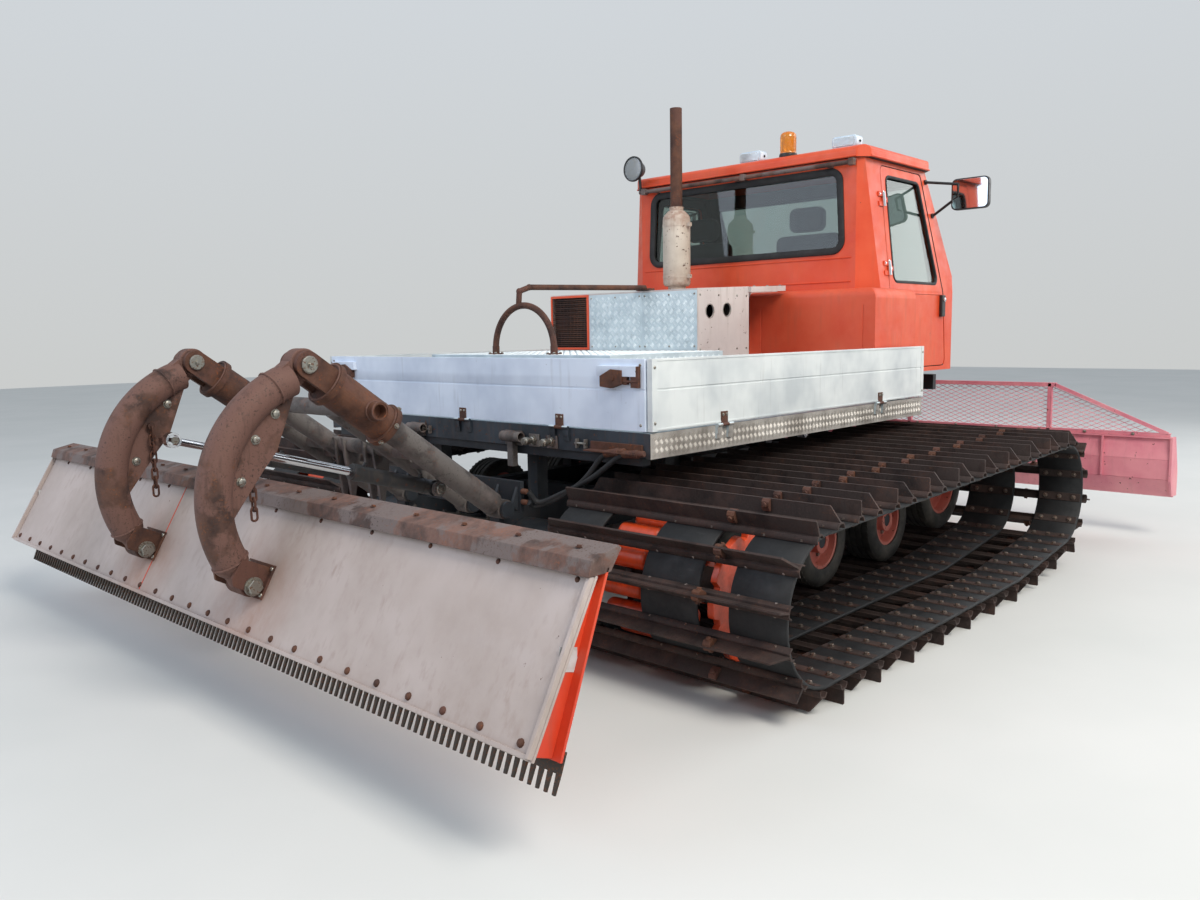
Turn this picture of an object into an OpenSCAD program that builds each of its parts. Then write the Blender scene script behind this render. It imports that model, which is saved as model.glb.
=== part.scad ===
// Tracked snow groomer: two wide belt tracks with bar cleats, a small cab,
// an aluminium load bed round the engine cover, a front blade and a rear
// smoother board on two gooseneck arms.
// Axes: +X forward, +Y to the machine's left, +Z up, millimetres.
// Stations along X are measured from the bed's rear edge (x = 0) and the
// whole machine is shifted by mid_x so that the origin is the middle of its
// footprint on the ground.

/* [Bed] */
// Half the width of the load bed over its side boards
bed_half_w = 1246; // [1100:1:1300]
// Length of a side board
board_len = 2620; // [2400:1:2700]
// Height of a drop side board
board_h = 308; // [250:1:340]
// Thickness of a board
board_t = 25; // [20:1:30]
// Height of the boards' lower edge above the ground
board_z = 1002; // [980:1:1040]
// Height of the chequer skirt under a side board
skirt_h = 112; // [90:1:115]

/* [Tracks] */
// Outer end of a cleat from the centre plane
cleat_y1 = 2100; // [2050:1:2150]
// Inner end of a cleat from the centre plane
cleat_y0 = 835; // [820:1:860]
// Height of a cleat's rib, which is also the belt's height off the ground
cleat_h = 85; // [70:1:90]
// Thickness of a cleat's rib
rib_t = 9; // [6:1:12]
// Cleats round one track
cleats = 48; // [40:1:52]
// Thickness of a rubber belt
belt_t = 14; // [10:1:18]
// Station of the rear drive sprocket
sprocket_x = 30; // [0:1:60]
// Radius of the belts' outer face round the sprocket
sprocket_r = 300; // [280:1:310]
// Station of the front idler
idler_x = 2730; // [2650:1:2800]
// Radius of the belts' outer face round the idler
idler_r = 290; // [270:1:300]
// Height of the idler's centre
idler_z = 450; // [400:1:460]
// Radius of a road tyre
tyre_r = 239; // [220:1:245]
// Width of a tyre
tyre_w = 190; // [160:1:210]
// Station of the first road wheel
wheel_x0 = 545; // [540:1:560]
// Distance between road wheels
wheel_step = 728; // [700:1:735]

/* [Cab] */
// Station of the cab's rear wall
cab_x0 = 2440; // [2420:1:2480]
// Station of the cab's nose
cab_x1 = 3720; // [3650:1:3740]
// Half the cab's width at the sill
cab_half_w = 1000; // [950:1:1020]
// Half the cab's width at the roof
roof_half_w = 905; // [850:1:930]
// Height of the cab's floor panel
cab_z0 = 1130; // [1110:1:1160]
// Height where the sides start to lean in
cab_zw = 1670; // [1600:1:1700]
// Height of the walls' top, under the roof cap
cab_z1 = 2470; // [2420:1:2500]
// Thickness of the cab's walls and doors
wall_t = 38; // [30:1:45]

/* [Rear board] */
// Half the width of the smoother board
smooth_half_w = 2100; // [2000:1:2150]
// Half the distance between the gooseneck arms
arm_y = 480; // [450:1:500]
// Radius of a gooseneck's bend at the tube's middle
neck_r = 470; // [450:1:480]
// Radius of the gooseneck tube
neck_tube_r = 65; // [55:1:70]

/* [Front blade] */
// Half the width of the blade
blade_half_w = 2340; // [2200:1:2400]
// Station of the blade's back
blade_x = 3985; // [3970:1:4020]
// Height of the blade's lower edge as parked
blade_z = 285; // [250:1:320]
// Height of the blade's body
blade_h = 400; // [380:1:420]
// Height of the guard above the blade's body
guard_h = 340; // [300:1:350]

/* [Hidden] */
$fn = 48;
belt_z = cleat_h;
sprocket_z = belt_z + sprocket_r;
wheel_z = belt_z + tyre_r + 0.3 - 0.4;
board_top = board_z + board_h;
lane_y = 1255;
// Outer face of a final drive
drive_y1 = 760;
// Frame rails: inner and outer face, underside and top
rail_y0 = 340;
rail_y1 = 420;
rail_z0 = 400;
rail_z1 = 600;
// Gap that seated pieces are left
seat_gap = 0.3;
// Gap between a belt and a cleat's foot
cleat_gap = 0.4;
// The circles that the belts' outer face wraps: x, z, radius
WRAP = [[sprocket_x, sprocket_z, sprocket_r],
        [wheel_x0 + 2*wheel_step, belt_z + tyre_r, tyre_r],
        [idler_x, idler_z, idler_r]];
// Belt strips of one track: inner edge, outer edge
BELTS = [[850, 1110], [1405, 1685], [1830, 2080]];
// Rear linkage points: x, z
lift_p = [-200, 620];
clevis_p = [-1170, 1320];
lift_base_p = [100, 440];
lift_eye_p = [-620, 620];
tilt_base_p = [-480, 740];
tilt_eye_p = [-1330, 990];
neck_c = [-1074, 818];
blade_reach = 150;
// Middle of the machine's length: the blade's nose to the goosenecks' bend
mid_x = (blade_x + blade_reach + neck_c[0] - neck_r - neck_tube_r)/2;
// Front linkage points: x, z
push_p = [3300, 450];
blade_base_p = [3300, 920];
blade_eye_p = [3720, 520];

module at() { translate([-mid_x, 0, 0]) children(); }
module both() { children(); mirror([0, 1, 0]) children(); }
module box(x0, x1, y0, y1, z0, z1) {
  translate([x0, y0, z0]) cube([x1 - x0, y1 - y0, z1 - z0]);
}
// A cylinder along Y between two y values, round the point p = [x, z]
module ybar(p, y0, y1, r) {
  translate([p[0], y1, p[1]]) rotate([90, 0, 0]) cylinder(h = y1 - y0, r = r);
}
// A cylinder from point a to point b
module bar(a, b, r) {
  d = b - a;
  l = norm(d);
  translate(a) rotate([0, acos(d[2]/l), atan2(d[1], d[0])]) cylinder(h = l, r = r);
}
// A section drawn in the X-Z plane, run along Y between y0 and y1
module section(y0, y1) {
  translate([0, y1, 0]) rotate([90, 0, 0]) linear_extrude(height = y1 - y0) children();
}
// A straight strip of thickness t between two points of a section
module strip(p, q, t) {
  d = q - p;
  n = [-d[1], d[0]]/norm(d)*t/2;
  polygon([p + n, q + n, q - n, p - n]);
}
// A lug plate: a round eye at p, a foot that widens to the segment a-b
module lug(p, a, b, r) {
  translate(p) circle(r = r);
  polygon([p + [0, r], p - [0, r], a, b]);
}
// Outline P with each corner rounded by an arc of radius r, n steps to a corner
function rounded(P, r, n = 5) = [for (i = [0:len(P) - 1])
  let(p = P[i], a = P[(i + len(P) - 1)%len(P)] - p, b = P[(i + 1)%len(P)] - p,
      u = a/norm(a), v = b/norm(b), h = acos(u*v)/2, c = p + (u + v)/norm(u + v)*r/sin(h),
      s = p + u*r/tan(h) - c, e = p + v*r/tan(h) - c, a0 = atan2(s[1], s[0]),
      d0 = atan2(e[1], e[0]) - a0, d = d0 > 180 ? d0 - 360 : d0 < -180 ? d0 + 360 : d0)
  for (k = [0:n]) c + r*[cos(a0 + d*k/n), sin(a0 + d*k/n)]];
// Outline with n corners round a circle, r out from its middle at the corners
function ring(r, n = 24) = [for (k = [0:n - 1]) r*[cos(k*360/n), sin(k*360/n)]];
function xz(p, y) = [p[0], y, p[1]];

// Tangent angle, in degrees, of the straight run that leaves circle i
function leave(i) = let(a = WRAP[i], b = WRAP[(i + 1)%3],
    d = norm([b[0] - a[0], b[1] - a[1]]))
  atan2(b[1] - a[1], b[0] - a[0]) - acos((a[2] - b[2])/d);
function turn(i) = let(t = leave(i) - leave((i + 2)%3)) t < 0 ? t + 360 : t;
function run(i) = let(a = WRAP[i], b = WRAP[(i + 1)%3])
  sqrt(pow(b[0] - a[0], 2) + pow(b[1] - a[1], 2) - pow(a[2] - b[2], 2));
function arc(i) = WRAP[i][2]*turn(i)*PI/180;
// Lengths along the loop, starting at circle 0's bottom: run, arc, run, arc ...
SEG = [run(0), arc(1), run(1), arc(2), run(2), arc(0)];
function upto(k) = k <= 0 ? 0 : SEG[k - 1] + upto(k - 1);
loop_len = upto(6);
function on_circle(i, ang, dr = 0) =
  [WRAP[i][0] + (WRAP[i][2] + dr)*cos(ang), WRAP[i][1] + (WRAP[i][2] + dr)*sin(ang)];
// Place on the loop at length s: x, z, outward angle
function place(s, k = 0) =
  s > upto(k + 1) && k < 5 ? place(s, k + 1) :
  let(u = s - upto(k), i = floor(k/2), j = (i + 1)%3)
    k % 2 == 0
      ? let(a = leave(i), p = on_circle(i, a))
        [p[0] - u*sin(a), p[1] + u*cos(a), a]
      : let(a = leave(i) + u/WRAP[j][2]*180/PI, p = on_circle(j, a)) [p[0], p[1], a];
// Outline of the belt loop, moved outward by dr: a corner where each arc starts
// and ends, and at every half step between cleats on it, so that each cleat
// sits on a corner
half_step = loop_len/cleats/2;
function corners(k) = [upto(k), for (j = [floor(upto(k)/half_step) + 1:ceil(upto(k + 1)/half_step) - 1])
    j*half_step, upto(k + 1)];
function outline(dr) = [for (k = [1, 3, 5]) for (s = corners(k)) let(p = place(s))
    [p[0] + dr*cos(p[2]), p[1] + dr*sin(p[2])]];

module cleat(slant) {
  // base: a half tube; rib: a tall thin plate with a square or oblique end
  if (slant == 0) section(cleat_y0, cleat_y1) polygon([[-26, cleat_gap], [26, cleat_gap], [15, 26],
    [rib_t/2, 26], [rib_t/2, cleat_h], [-rib_t/2, cleat_h], [-rib_t/2, 26], [-15, 26]]);
  if (slant > 0) {
    section(cleat_y0, cleat_y1) polygon([[-26, cleat_gap], [26, cleat_gap], [15, 26], [-15, 26]]);
    translate([-rib_t/2, 0, 0]) rotate([90, 0, 90]) linear_extrude(height = rib_t)
      polygon([[cleat_y0, 20], [cleat_y1, 20], [cleat_y1 - slant, cleat_h],
               [cleat_y0 + slant, cleat_h]]);
  }
}
module track() {
  for (b = BELTS) section(b[0], b[1]) difference() {
    polygon(outline(0));
    polygon(outline(-belt_t));
  }
  for (i = [0:cleats - 1]) {
    p = place(loop_len*(i + 0.5)/cleats);
    translate([p[0], 0, p[1]]) rotate([0, 90 - p[2], 0]) cleat(i % 2 == 0 ? 0 : 45);
  }
}
module track_left() { color("#3a3432") at() track(); }
module track_right() { color("#3a3432") at() mirror([0, 1, 0]) track(); }

WHEELS = [for (i = [0:2]) [wheel_x0 + i*wheel_step, wheel_z, tyre_r],
          [idler_x, idler_z, idler_r + cleat_gap - seat_gap]];
module tyres() { color("#23242a") at() both() for (w = WHEELS)
  translate([w[0], lane_y, w[1]]) rotate([90, 0, 0]) difference() {
    linear_extrude(height = tyre_w, center = true) polygon(ring(w[2]));
    linear_extrude(height = tyre_w + 2, center = true) polygon(ring(w[2] - 95));
  }
}
module rims() { color("#c96a55") at() both() for (w = WHEELS)
  translate([w[0], lane_y, w[1]]) rotate([90, 0, 0]) difference() {
    linear_extrude(height = tyre_w - 30, center = true) polygon(ring(w[2] - 95));
    for (s = [-1, 1]) translate([0, 0, s*70]) difference() {
      cylinder(h = 100, r = w[2] - 112, center = true);
      cylinder(h = 102, r = 62, center = true);
    }
    cylinder(h = tyre_w, r = 35.05, center = true);
  }
}
// Distance of the drive rollers from the sprocket's middle
roller_r = sprocket_r - 74;
module sprockets() { color("#d2491f") at() both() translate([sprocket_x, 0, sprocket_z]) {
  // hub drum, two discs and the drive lugs between the belts
  rotate([90, 0, 0]) translate([0, 0, -1760]) difference() {
    cylinder(h = 1760 - drive_y1 - seat_gap, r = 75);
    translate([0, 0, -1]) cylinder(h = 1012, r = 40.05);
  }
  for (d = [[1240, 30, 190]]) rotate([90, 0, 0])
    translate([0, 0, -d[0] - d[1]/2]) difference() {
      cylinder(h = d[1], r = d[2]);
      translate([0, 0, -1]) cylinder(h = d[1] + 2, r = 74);
    }
  // drive rollers on the inner disc, teeth round the outer one
  for (k = [0:11]) rotate([0, k*30, 0]) {
    ybar([roller_r, 0], 1150, 1370, 42);
    translate([170, 1228, -26]) cube([45, 24, 52]);
  }
  section(1713, 1743) difference() {
    polygon([for (k = [0:11]) for (a = [[-9, sprocket_r - 32], [-5, sprocket_r - 28], [5, sprocket_r - 28],
      [9, sprocket_r - 32], [12, sprocket_r - 60], [18, sprocket_r - 60]])
        a[1]*[cos(k*30 + a[0]), sin(k*30 + a[0])]]);
    circle(r = 74);
  }
} }

module axles() { color("#24262a") at() {
  for (w = WHEELS) ybar([w[0], w[1]], -1330, 1330, 35);
  // final drives on the rails and their shafts
  both() ybar([sprocket_x, sprocket_z], rail_y1 + seat_gap, drive_y1, 150);
  both() ybar([sprocket_x, sprocket_z], 430, 1765, 40);
  // saddles that hang the road wheels' axle tubes under the frame rails
  both() for (i = [0:2])
    box(WHEELS[i][0] - 60, WHEELS[i][0] + 60, 342, 418, WHEELS[i][1] - 50, rail_z0 - seat_gap);
} }

// Frame: two deep rails, a belly pan and cross members
frame_x1 = 3200;
module chassis_frame() { color("#2b3036") at() difference() {
  union() {
    both() box(-118 + seat_gap, frame_x1, rail_y0, rail_y1, rail_z0, rail_z1);
    box(300, frame_x1, -rail_y0, rail_y0, rail_z0, rail_z0 + 8);
    for (x = [700, 1250, 2200, 3100]) {
      box(x - 40, x + 40, -rail_y0, rail_y0, rail_z0 + 20, rail_z1 - 20);
      box(x - 30, x + 30, -rail_y0, rail_y0, rail_z0 + 4, rail_z0 + 24);
    }
  }
  both() ybar([idler_x, idler_z], 330, 430, 35.05);
} }
// Cross beams on posts that carry the bed
module body_bearers() { color("#2b3036") at() {
  for (x = [150, 1150, 2180]) {
    box(x - 40, x + 40, -1180, 1180, 905, 965);
    both() box(x - 35, x + 35, rail_y0 + 5, rail_y1 - 5, rail_z1 + seat_gap, 910);
  }
  // beam under the tailgate
  box(14 + seat_gap, 70, -1180, 1180, 850, 965);
  both() box(60, 120, 350, 410, 910, 960);
} }
// Carrier under the cab: two cross beams on posts, joined lengthways
module cab_bearers() { color("#2b3036") at() {
  for (x = [2560, 3180]) {
    box(x - 35, x + 35, -900, 900, 1040, 1088);
    both() translate([x, 620, 1080]) cylinder(h = cab_z0 - seat_gap - 1080, r = 45);
    both() box(x - 35, x + 35, rail_y0 + 5, rail_y1 - 5, rail_z1 + seat_gap, 1050);
  }
  both() box(2530, 3650, 560, 620, 1044, 1084);
  box(3600, 3650, -880, 880, 980, 1088);
} }
// Rear cross plate, hinge lugs of the lift frame and the lift cylinders' base
module rear_hitch() { color("#2b3036") at() {
  box(-140, -118, -570, 570, rail_z1, 745);
  both() box(-140, -118, rail_y0 + 5, rail_y1 - 5, rail_z0 + 20, rail_z1 + 2);
  both() for (y = [190, 295, 405, 535]) section(y, y + 16)
    lug(lift_p, [-130, 742], [-130, 602], 38);
  both() ybar(lift_p, 190, 311, 18);
  both() ybar(lift_p, 405, 551, 18);
  both() for (y = [62, 160]) box(60, 140, y, y + 18, 395, 480);
  box(40, 160, -rail_y1, rail_y1, rail_z0 - 10, rail_z0 - seat_gap);
  both() ybar(lift_base_p, 62, 178, 16);
} }
// Front cross plate, push lugs and the blade cylinders' mast
module front_hitch() { color("#2b3036") at() {
  box(frame_x1 + seat_gap, frame_x1 + 22, -470, 470, rail_z0, rail_z1);
  both() for (y = [318, 428]) section(y, y + 16)
    lug(push_p, [3212, 400], [3212, 500], 42);
  both() ybar(push_p, 318, 444, 20);
  both() box(frame_x1 + seat_gap, frame_x1 + 22, 120, 260, rail_z1 - 10, 1000);
  both() box(frame_x1 - 30, frame_x1 + 6, 180, 200, rail_z1 + seat_gap, 980);
  both() for (y = [132, 230]) section(y, y + 18)
    lug(blade_base_p, [3212, 860], [3212, 980], 36);
  both() ybar(blade_base_p, 132, 248, 16);
} }

module engine_block() { color("#3b3f42") at() {
  box(1330, 2100, -cover_y2 + 40, cover_y2 - 40, 620, 1480);
  both() box(1400, 2050, cover_y2 - 45, 380, 600 + seat_gap, 680);
} }

// Drop hinges: the bed's knuckles and pin, and the board's strap and knuckle,
// drawn for an edge that runs along X with the board standing on the +Y side
hinge_r = 8;
pin_r = 4;
hinge_out = 8;
hinge_down = 6;
module hinge_fixed(x, skirt_in) translate([x, hinge_out, -hinge_down]) {
  rotate([0, 90, 0]) translate([0, 0, -60]) cylinder(h = 120, r = pin_r);
  for (s = [-60, 26]) translate([s, 0, 0]) rotate([0, 90, 0]) cylinder(h = 34, r = hinge_r);
  for (s = [-60, 26]) translate([s, -hinge_out - skirt_in, -62]) cube([34, skirt_in + 5, 60]);
  for (s = [-60, 26]) translate([s, -4, -40]) cube([34, 5, 38]);
}
module hinge_moving(x) translate([x, hinge_out, -hinge_down]) {
  difference() {
    union() {
      translate([-25, 0, 0]) rotate([0, 90, 0]) cylinder(h = 50, r = hinge_r);
      translate([-25, -hinge_out, 0]) cube([50, 5, 60]);
    }
    translate([-26, 0, 0]) rotate([0, 90, 0]) cylinder(h = 52, r = pin_r + 0.05);
  }
}
side_hinges = [520, 2055];
tail_hinges = [-700, 0, 700];
// Bed: floor, skirts and rear corner posts
module bed_floor() { color("#cfd6d8") at() {
  both() translate([0, bed_half_w, board_z]) for (x = side_hinges) hinge_fixed(x, 6);
  translate([-4, 0, board_z]) rotate([0, 0, 90]) for (y = tail_hinges) hinge_fixed(y, 4);
  difference() {
    box(0, cab_x0 - 40, -bed_half_w + 30, bed_half_w - 30, 965 + seat_gap, 995);
    box(1300, 2130, -360, 360, 960, 1000);
  }
  both() box(0, board_len, bed_half_w - 30, bed_half_w - 6, board_z - skirt_h - 5, 995);
  box(0, 14, -bed_half_w + 30, bed_half_w - 30, 890, 967);
  both() box(28, 68, bed_half_w - 70, bed_half_w - 30, 995, board_top);
} }
// Height of the groove between a board's two planks
groove_z = board_z + board_h*0.56;
module side_board() {
  difference() {
    box(4, board_len, bed_half_w - board_t, bed_half_w, board_z, board_top);
    for (y = [bed_half_w, bed_half_w - board_t]) box(0, board_len + 5, y - 3, y + 3, groove_z, groove_z + 9);
  }
  // end profiles
  for (x = [4, board_len - 34]) box(x, x + 34, bed_half_w - board_t, bed_half_w + 3, board_z, board_top);
  translate([0, bed_half_w, board_z]) for (x = side_hinges) hinge_moving(x);
}
module side_board_left() { color("#e3e7e6") at() side_board(); }
module side_board_right() { color("#e3e7e6") at() mirror([0, 1, 0]) side_board(); }
module tailgate() { color("#c8d0d8") at() {
  difference() {
    box(-4, 21, -bed_half_w + 32, bed_half_w - 32, board_z, board_top);
    box(-7, -1, -bed_half_w, bed_half_w, groove_z, groove_z + 9);
    box(18, 24, -bed_half_w, bed_half_w, groove_z, groove_z + 9);
  }
  both() box(-24, -4, 955, 1180, board_top - 75, board_top - 30);
  translate([-4, 0, board_z]) rotate([0, 0, 90]) for (y = tail_hinges) hinge_moving(y);
} }
module deck_box() { color("#c9d6d6") at() difference() {
  box(280, 1190, -760, 620, 995 + seat_gap, board_top + 6);
  box(284, 1186, -756, 616, 990, board_top + 2);
} }

// Engine cover: an open-bottomed hood, wide behind the deck and narrow between
// the lockers, with ledges along the narrow part and the grille's hole
cover_y = 580;
cover_y2 = 330;
cover_t = 6;
cover_z = 1660;
function cover_top(x) = cover_z + (x - 1200)/24;
module cover_slice(x0, x1, y, t) {
  section(-y + t, y - t) polygon([[x0 + t, 995.3 - t], [x1 - t, 995.3 - t],
    [x1 - t, cover_top(x1) - t], [x0 + t, cover_top(x0) - t]]);
}
module engine_cover() { color("#cdbfb9") at() difference() {
  union() {
    cover_slice(1200, 1700, cover_y, 0);
    cover_slice(1200, cab_x0 - 40, cover_y2, 0);
    both() section(cover_y2 - cover_t, cover_y + 20)
      polygon([[1695, cover_top(1695) - 34], [locker_x0 - seat_gap, cover_top(locker_x0) - 34],
        [locker_x0 - seat_gap, cover_top(locker_x0) - 2], [1695, cover_top(1695) - 2]]);
  }
  cover_slice(1200, 1700, cover_y, cover_t);
  cover_slice(1200, cab_x0 - 40, cover_y2, cover_t);
  box(1190, 1215, 262, 562, 1335, 1640);
  for (p = [[1316, 1535], [1480, 1544]]) ybar(p, -cover_y - 20, -cover_y + 30, 36);
} }
module radiator_grille() { color("#5a4a42") at() {
  difference() {
    box(1191, 1200 - seat_gap, 250, 574, 1323, 1652);
    box(1180, 1210, 262, 562, 1335, 1640);
  }
  for (i = [1:11]) box(1195, 1199, 262 + i*25 - 2, 262 + i*25 + 2, 1335, 1640);
  for (i = [1:11]) box(1193, 1197, 262, 562, 1335 + i*25 - 2, 1335 + i*25 + 2);
} }
muffler_p = [2080, 260];
module muffler() { color("#b7a793") at() translate([muffler_p[0], muffler_p[1], 0]) difference() {
  union() {
    translate([0, 0, 1699.5]) cylinder(h = 30, r = 60);
    translate([0, 0, 1729]) cylinder(h = 470, r = 92);
    translate([0, 0, 2199]) cylinder(h = 26, r = 70);
  }
  translate([0, 0, 2190]) cylinder(h = 60, r = 40.05);
} }
module exhaust_pipe() { color("#6b3e33") at() translate([muffler_p[0], muffler_p[1], 2192]) difference() {
  cylinder(h = 700, r = 40);
  translate([0, 0, 10]) cylinder(h = 700, r = 36);
} }
// Hoop of tube on the deck and the rail from its top to the engine cover
hoop_x = 350;
module load_hoop() { color("#5d3b34") at() {
  z0 = board_top + 6;
  translate([hoop_x, -85, z0 + 30]) {
    rotate([90, 0, 90]) rotate([0, 0, 2]) rotate_extrude(angle = 176) translate([225, 0]) circle(r = 17);
    for (s = [-1, 1]) translate([0, s*225, -29.5]) cylinder(h = 44, r = 19);
    for (s = [-1, 1]) translate([0, s*225, -29.5]) cylinder(h = 6, r = 40);
  }
  bar([hoop_x, -50, z0 + 250], [hoop_x + 8, -50, z0 + 330], 15);
  bar([hoop_x + 8, -50, z0 + 330], [hoop_x + 70, -60, z0 + 352], 15);
  bar([hoop_x + 70, -60, z0 + 352], [1215, -190, cover_z + 18], 15);
  translate([hoop_x + 8, -50, z0 + 330]) sphere(r = 17);
  translate([hoop_x + 70, -60, z0 + 352]) sphere(r = 17);
  box(1190, 1240, -240, -140, cover_z + 2, cover_z + 14);
} }

// Lockers between the narrow cover and the side boards, wrapped round the cab
locker_x0 = cab_x0 - 370;
locker_x1 = cab_x0 + 160;
module lockers() { color("#e4572e") at() both() difference() {
  intersection() {
    section(cover_y2 + seat_gap, bed_half_w - 46) polygon(rounded([[locker_x0, 900], [locker_x1, 900],
      [locker_x1, cover_z], [locker_x0, cover_z]], 45));
    rotate([90, 0, 90]) linear_extrude(height = 3000) polygon(rounded([[0, 800], [bed_half_w - 46, 800],
      [bed_half_w - 46, cover_z], [0, cover_z]], 60));
    box(locker_x0 - 10, locker_x1 + 10, 300, bed_half_w, 995.3, cover_z + 40);
  }
  box(cab_x0 - 8, locker_x1 + 10, 200, cab_half_w + 12, 990, cover_z + 40);
  // door seam
  box(locker_x0 - 5, locker_x0 + 3, 420, 424, 1080, 1560);
  box(locker_x0 - 5, locker_x0 + 3, 1120, 1124, 1080, 1560);
} }

// Cab: three outlines cut each other, drawn inside by the wall's thickness
// Half widths of the plan: rear corner, sides and nose, and the doors' inner face
corner_y = cab_half_w - 130;
brow_y = cab_half_w + 10;
nose_y = cab_half_w - 120;
door_y = cab_half_w - 150;
module cab_solid(d, top) {
  intersection() {
    section(-cab_half_w - 100, cab_half_w + 100) polygon([[cab_x0 + d, cab_z0 + d], [cab_x1 - d, cab_z0 + d],
      [cab_x1 - d, 1560], [3310 - d, top], [cab_x0 + d, top]]);
    rotate([90, 0, 90]) linear_extrude(height = 4000) polygon([for (s = [-1, 1])
      each (s < 0 ? [[-cab_half_w + d, 1000], [-cab_half_w + d, cab_zw], [-roof_half_w + d, cab_z1 + 40]]
                  : [[roof_half_w - d, cab_z1 + 40], [cab_half_w - d, cab_zw], [cab_half_w - d, 1000]])]);
    linear_extrude(height = 3000) polygon([[cab_x0 + d, -corner_y + d/2], [cab_x0 + 90 + d/2, -brow_y + d],
      [cab_x1 - 120, -brow_y + d], [cab_x1 - d, -nose_y + d/2], [cab_x1 - d, nose_y - d/2],
      [cab_x1 - 120, brow_y - d], [cab_x0 + 90 + d/2, brow_y - d], [cab_x0 + d, corner_y - d/2]]);
  }
}
// Lean of the cab's upper side, and the side's y at a height
lean = (cab_half_w - roof_half_w)/(cab_z1 + 40 - cab_zw);
function side_y(z) = cab_half_w - max(0, z - cab_zw)*lean;
door_x0 = 2655;
door_z0 = cab_z0 + 35;
door_z1 = cab_z1 - 30;
door_gap = 6;
door_hinge_z = [1800, 2230];
door_front_gap = 14;
// A door's hinge line: x, its y at the height z = 2000
door_hinge = [door_x0 - 7, side_y(2000) + 12];
// Outline of a door in X-Z, grown by g at the rear, top and foot and by gf at the front
module door_outline(g, gf) {
  polygon(rounded([[door_x0 - g, door_z0 - g], [3500 + gf, door_z0 - g], [3450 + gf, 1630],
    [3225 + gf, door_z1 + g], [door_x0 - g, door_z1 + g]], 40 + g));
}
// One hinge at the height z: part 0 on the pillar with its pin, part 1 on the door
module door_hinge_half(z, part)
  translate([door_hinge[0], door_hinge[1] - (z - 2000)*lean, z]) rotate([atan(lean), 0, 0]) {
  if (part == 0) {
    translate([0, 0, -45]) cylinder(h = 90, r = 6);
    for (s = [-45, 16]) translate([0, 0, s]) {
      cylinder(h = 29, r = 11);
      translate([-55, -12.6, 0]) cube([56, 8, 29]);
    }
  }
  if (part == 1) difference() {
    union() {
      translate([0, 0, -15]) cylinder(h = 30, r = 11);
      translate([0, -11.4, -15]) cube([60, 7, 30]);
      translate([9, -12.6, -15]) cube([51, 8, 30]);
    }
    translate([0, 0, -20]) cylinder(h = 40, r = 6.05);
  }
}
module door_window(g) {
  polygon(rounded([[2715 - g, 1715 - g], [3378 + g, 1715 - g],
    [3190 + g, 2385 + g], [2715 - g, 2385 + g]], 45 + g));
}
// Outline of the rear window in Y-Z, made smaller by g
function rear_window(g) = [[-790 + g, cab_zw + 230 + g], [790 - g, cab_zw + 230 + g],
  [765 - g, cab_z1 - 55 - g], [-765 + g, cab_z1 - 55 - g]];
module cab_shell() { color("#e4572e") at() both() for (z = door_hinge_z) door_hinge_half(z, 0);
  color("#e4572e") at() difference() {
  cab_solid(0, cab_z1);
  cab_solid(wall_t, cab_z1 + 10);
  both() section(door_y, cab_half_w + 100) door_outline(door_gap, door_front_gap);
  // rear window and windscreen holes
  translate([cab_x0 - 20, 0, 0]) rotate([90, 0, 90]) linear_extrude(height = 100)
    polygon(rounded(rear_window(0), 70));
  section(-820, 820) polygon([[3600, 1640], [3760, 1640], [3420, 2385], [3260, 2385]]);
} }
// Roof cap: rear and front station, half width, top
roof_x0 = cab_x0 - 25;
roof_x1 = 3345;
roof_y = roof_half_w + 40;
roof_z = cab_z1 + 75.5;
module cab_roof() { color("#e4572e") at() difference() {
  intersection() {
    translate([0, 0, cab_z1 + 0.5]) linear_extrude(height = 100)
      polygon(rounded([[roof_x0, -roof_y + 65], [roof_x0 + 65, -roof_y], [roof_x1 - 45, -roof_y],
        [roof_x1, -roof_y + 45], [roof_x1, roof_y - 45], [roof_x1 - 45, roof_y],
        [roof_x0 + 65, roof_y], [roof_x0, roof_y - 65]], 30, 3));
    rotate([90, 0, 90]) linear_extrude(height = 4000)
      polygon(rounded([[-roof_y, cab_z1 - 100], [roof_y, cab_z1 - 100],
        [roof_y, roof_z], [-roof_y, roof_z]], 38));
    section(-1000, 1000) polygon(rounded([[roof_x0, cab_z1 - 100], [roof_x1, cab_z1 - 100],
      [roof_x1, roof_z], [roof_x0, roof_z]], 38));
  }
  translate([0, 0, cab_z1 - 1]) linear_extrude(height = 50)
    polygon([[cab_x0 + 45, 35 - roof_half_w], [roof_x1 - 75, 35 - roof_half_w],
      [roof_x1 - 75, roof_half_w - 35], [cab_x0 + 45, roof_half_w - 35]]);
} }
module cab_glass() { color("#3f4b50", 0.5) at() {
  translate([cab_x0 + 12, 0, 0]) rotate([90, 0, 90]) linear_extrude(height = 6)
    polygon(rounded(rear_window(seat_gap), 70 - seat_gap));
  intersection() {
    section(-819.7, 819.7) strip([3698, 1590], [3315, 2430], 6);
    box(3200, 3800, -820, 820, 1640.3, 2384.7);
  }
} }
module door_panel() {
  intersection() {
    difference() {
      cab_solid(0, cab_z1);
      cab_solid(wall_t, cab_z1 + 10);
    }
    section(door_y, cab_half_w + 100) difference() { door_outline(0, 0); door_window(0); }
  }
  for (z = door_hinge_z) door_hinge_half(z, 1);
  // handle
  box(3390, 3440, cab_half_w, cab_half_w + 22, 1500, 1640);
}
module door_glass() {
  intersection() {
    difference() { cab_solid(14, cab_z1); cab_solid(20, cab_z1 + 10); }
    section(door_y, cab_half_w + 100) door_window(-seat_gap);
  }
}
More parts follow.
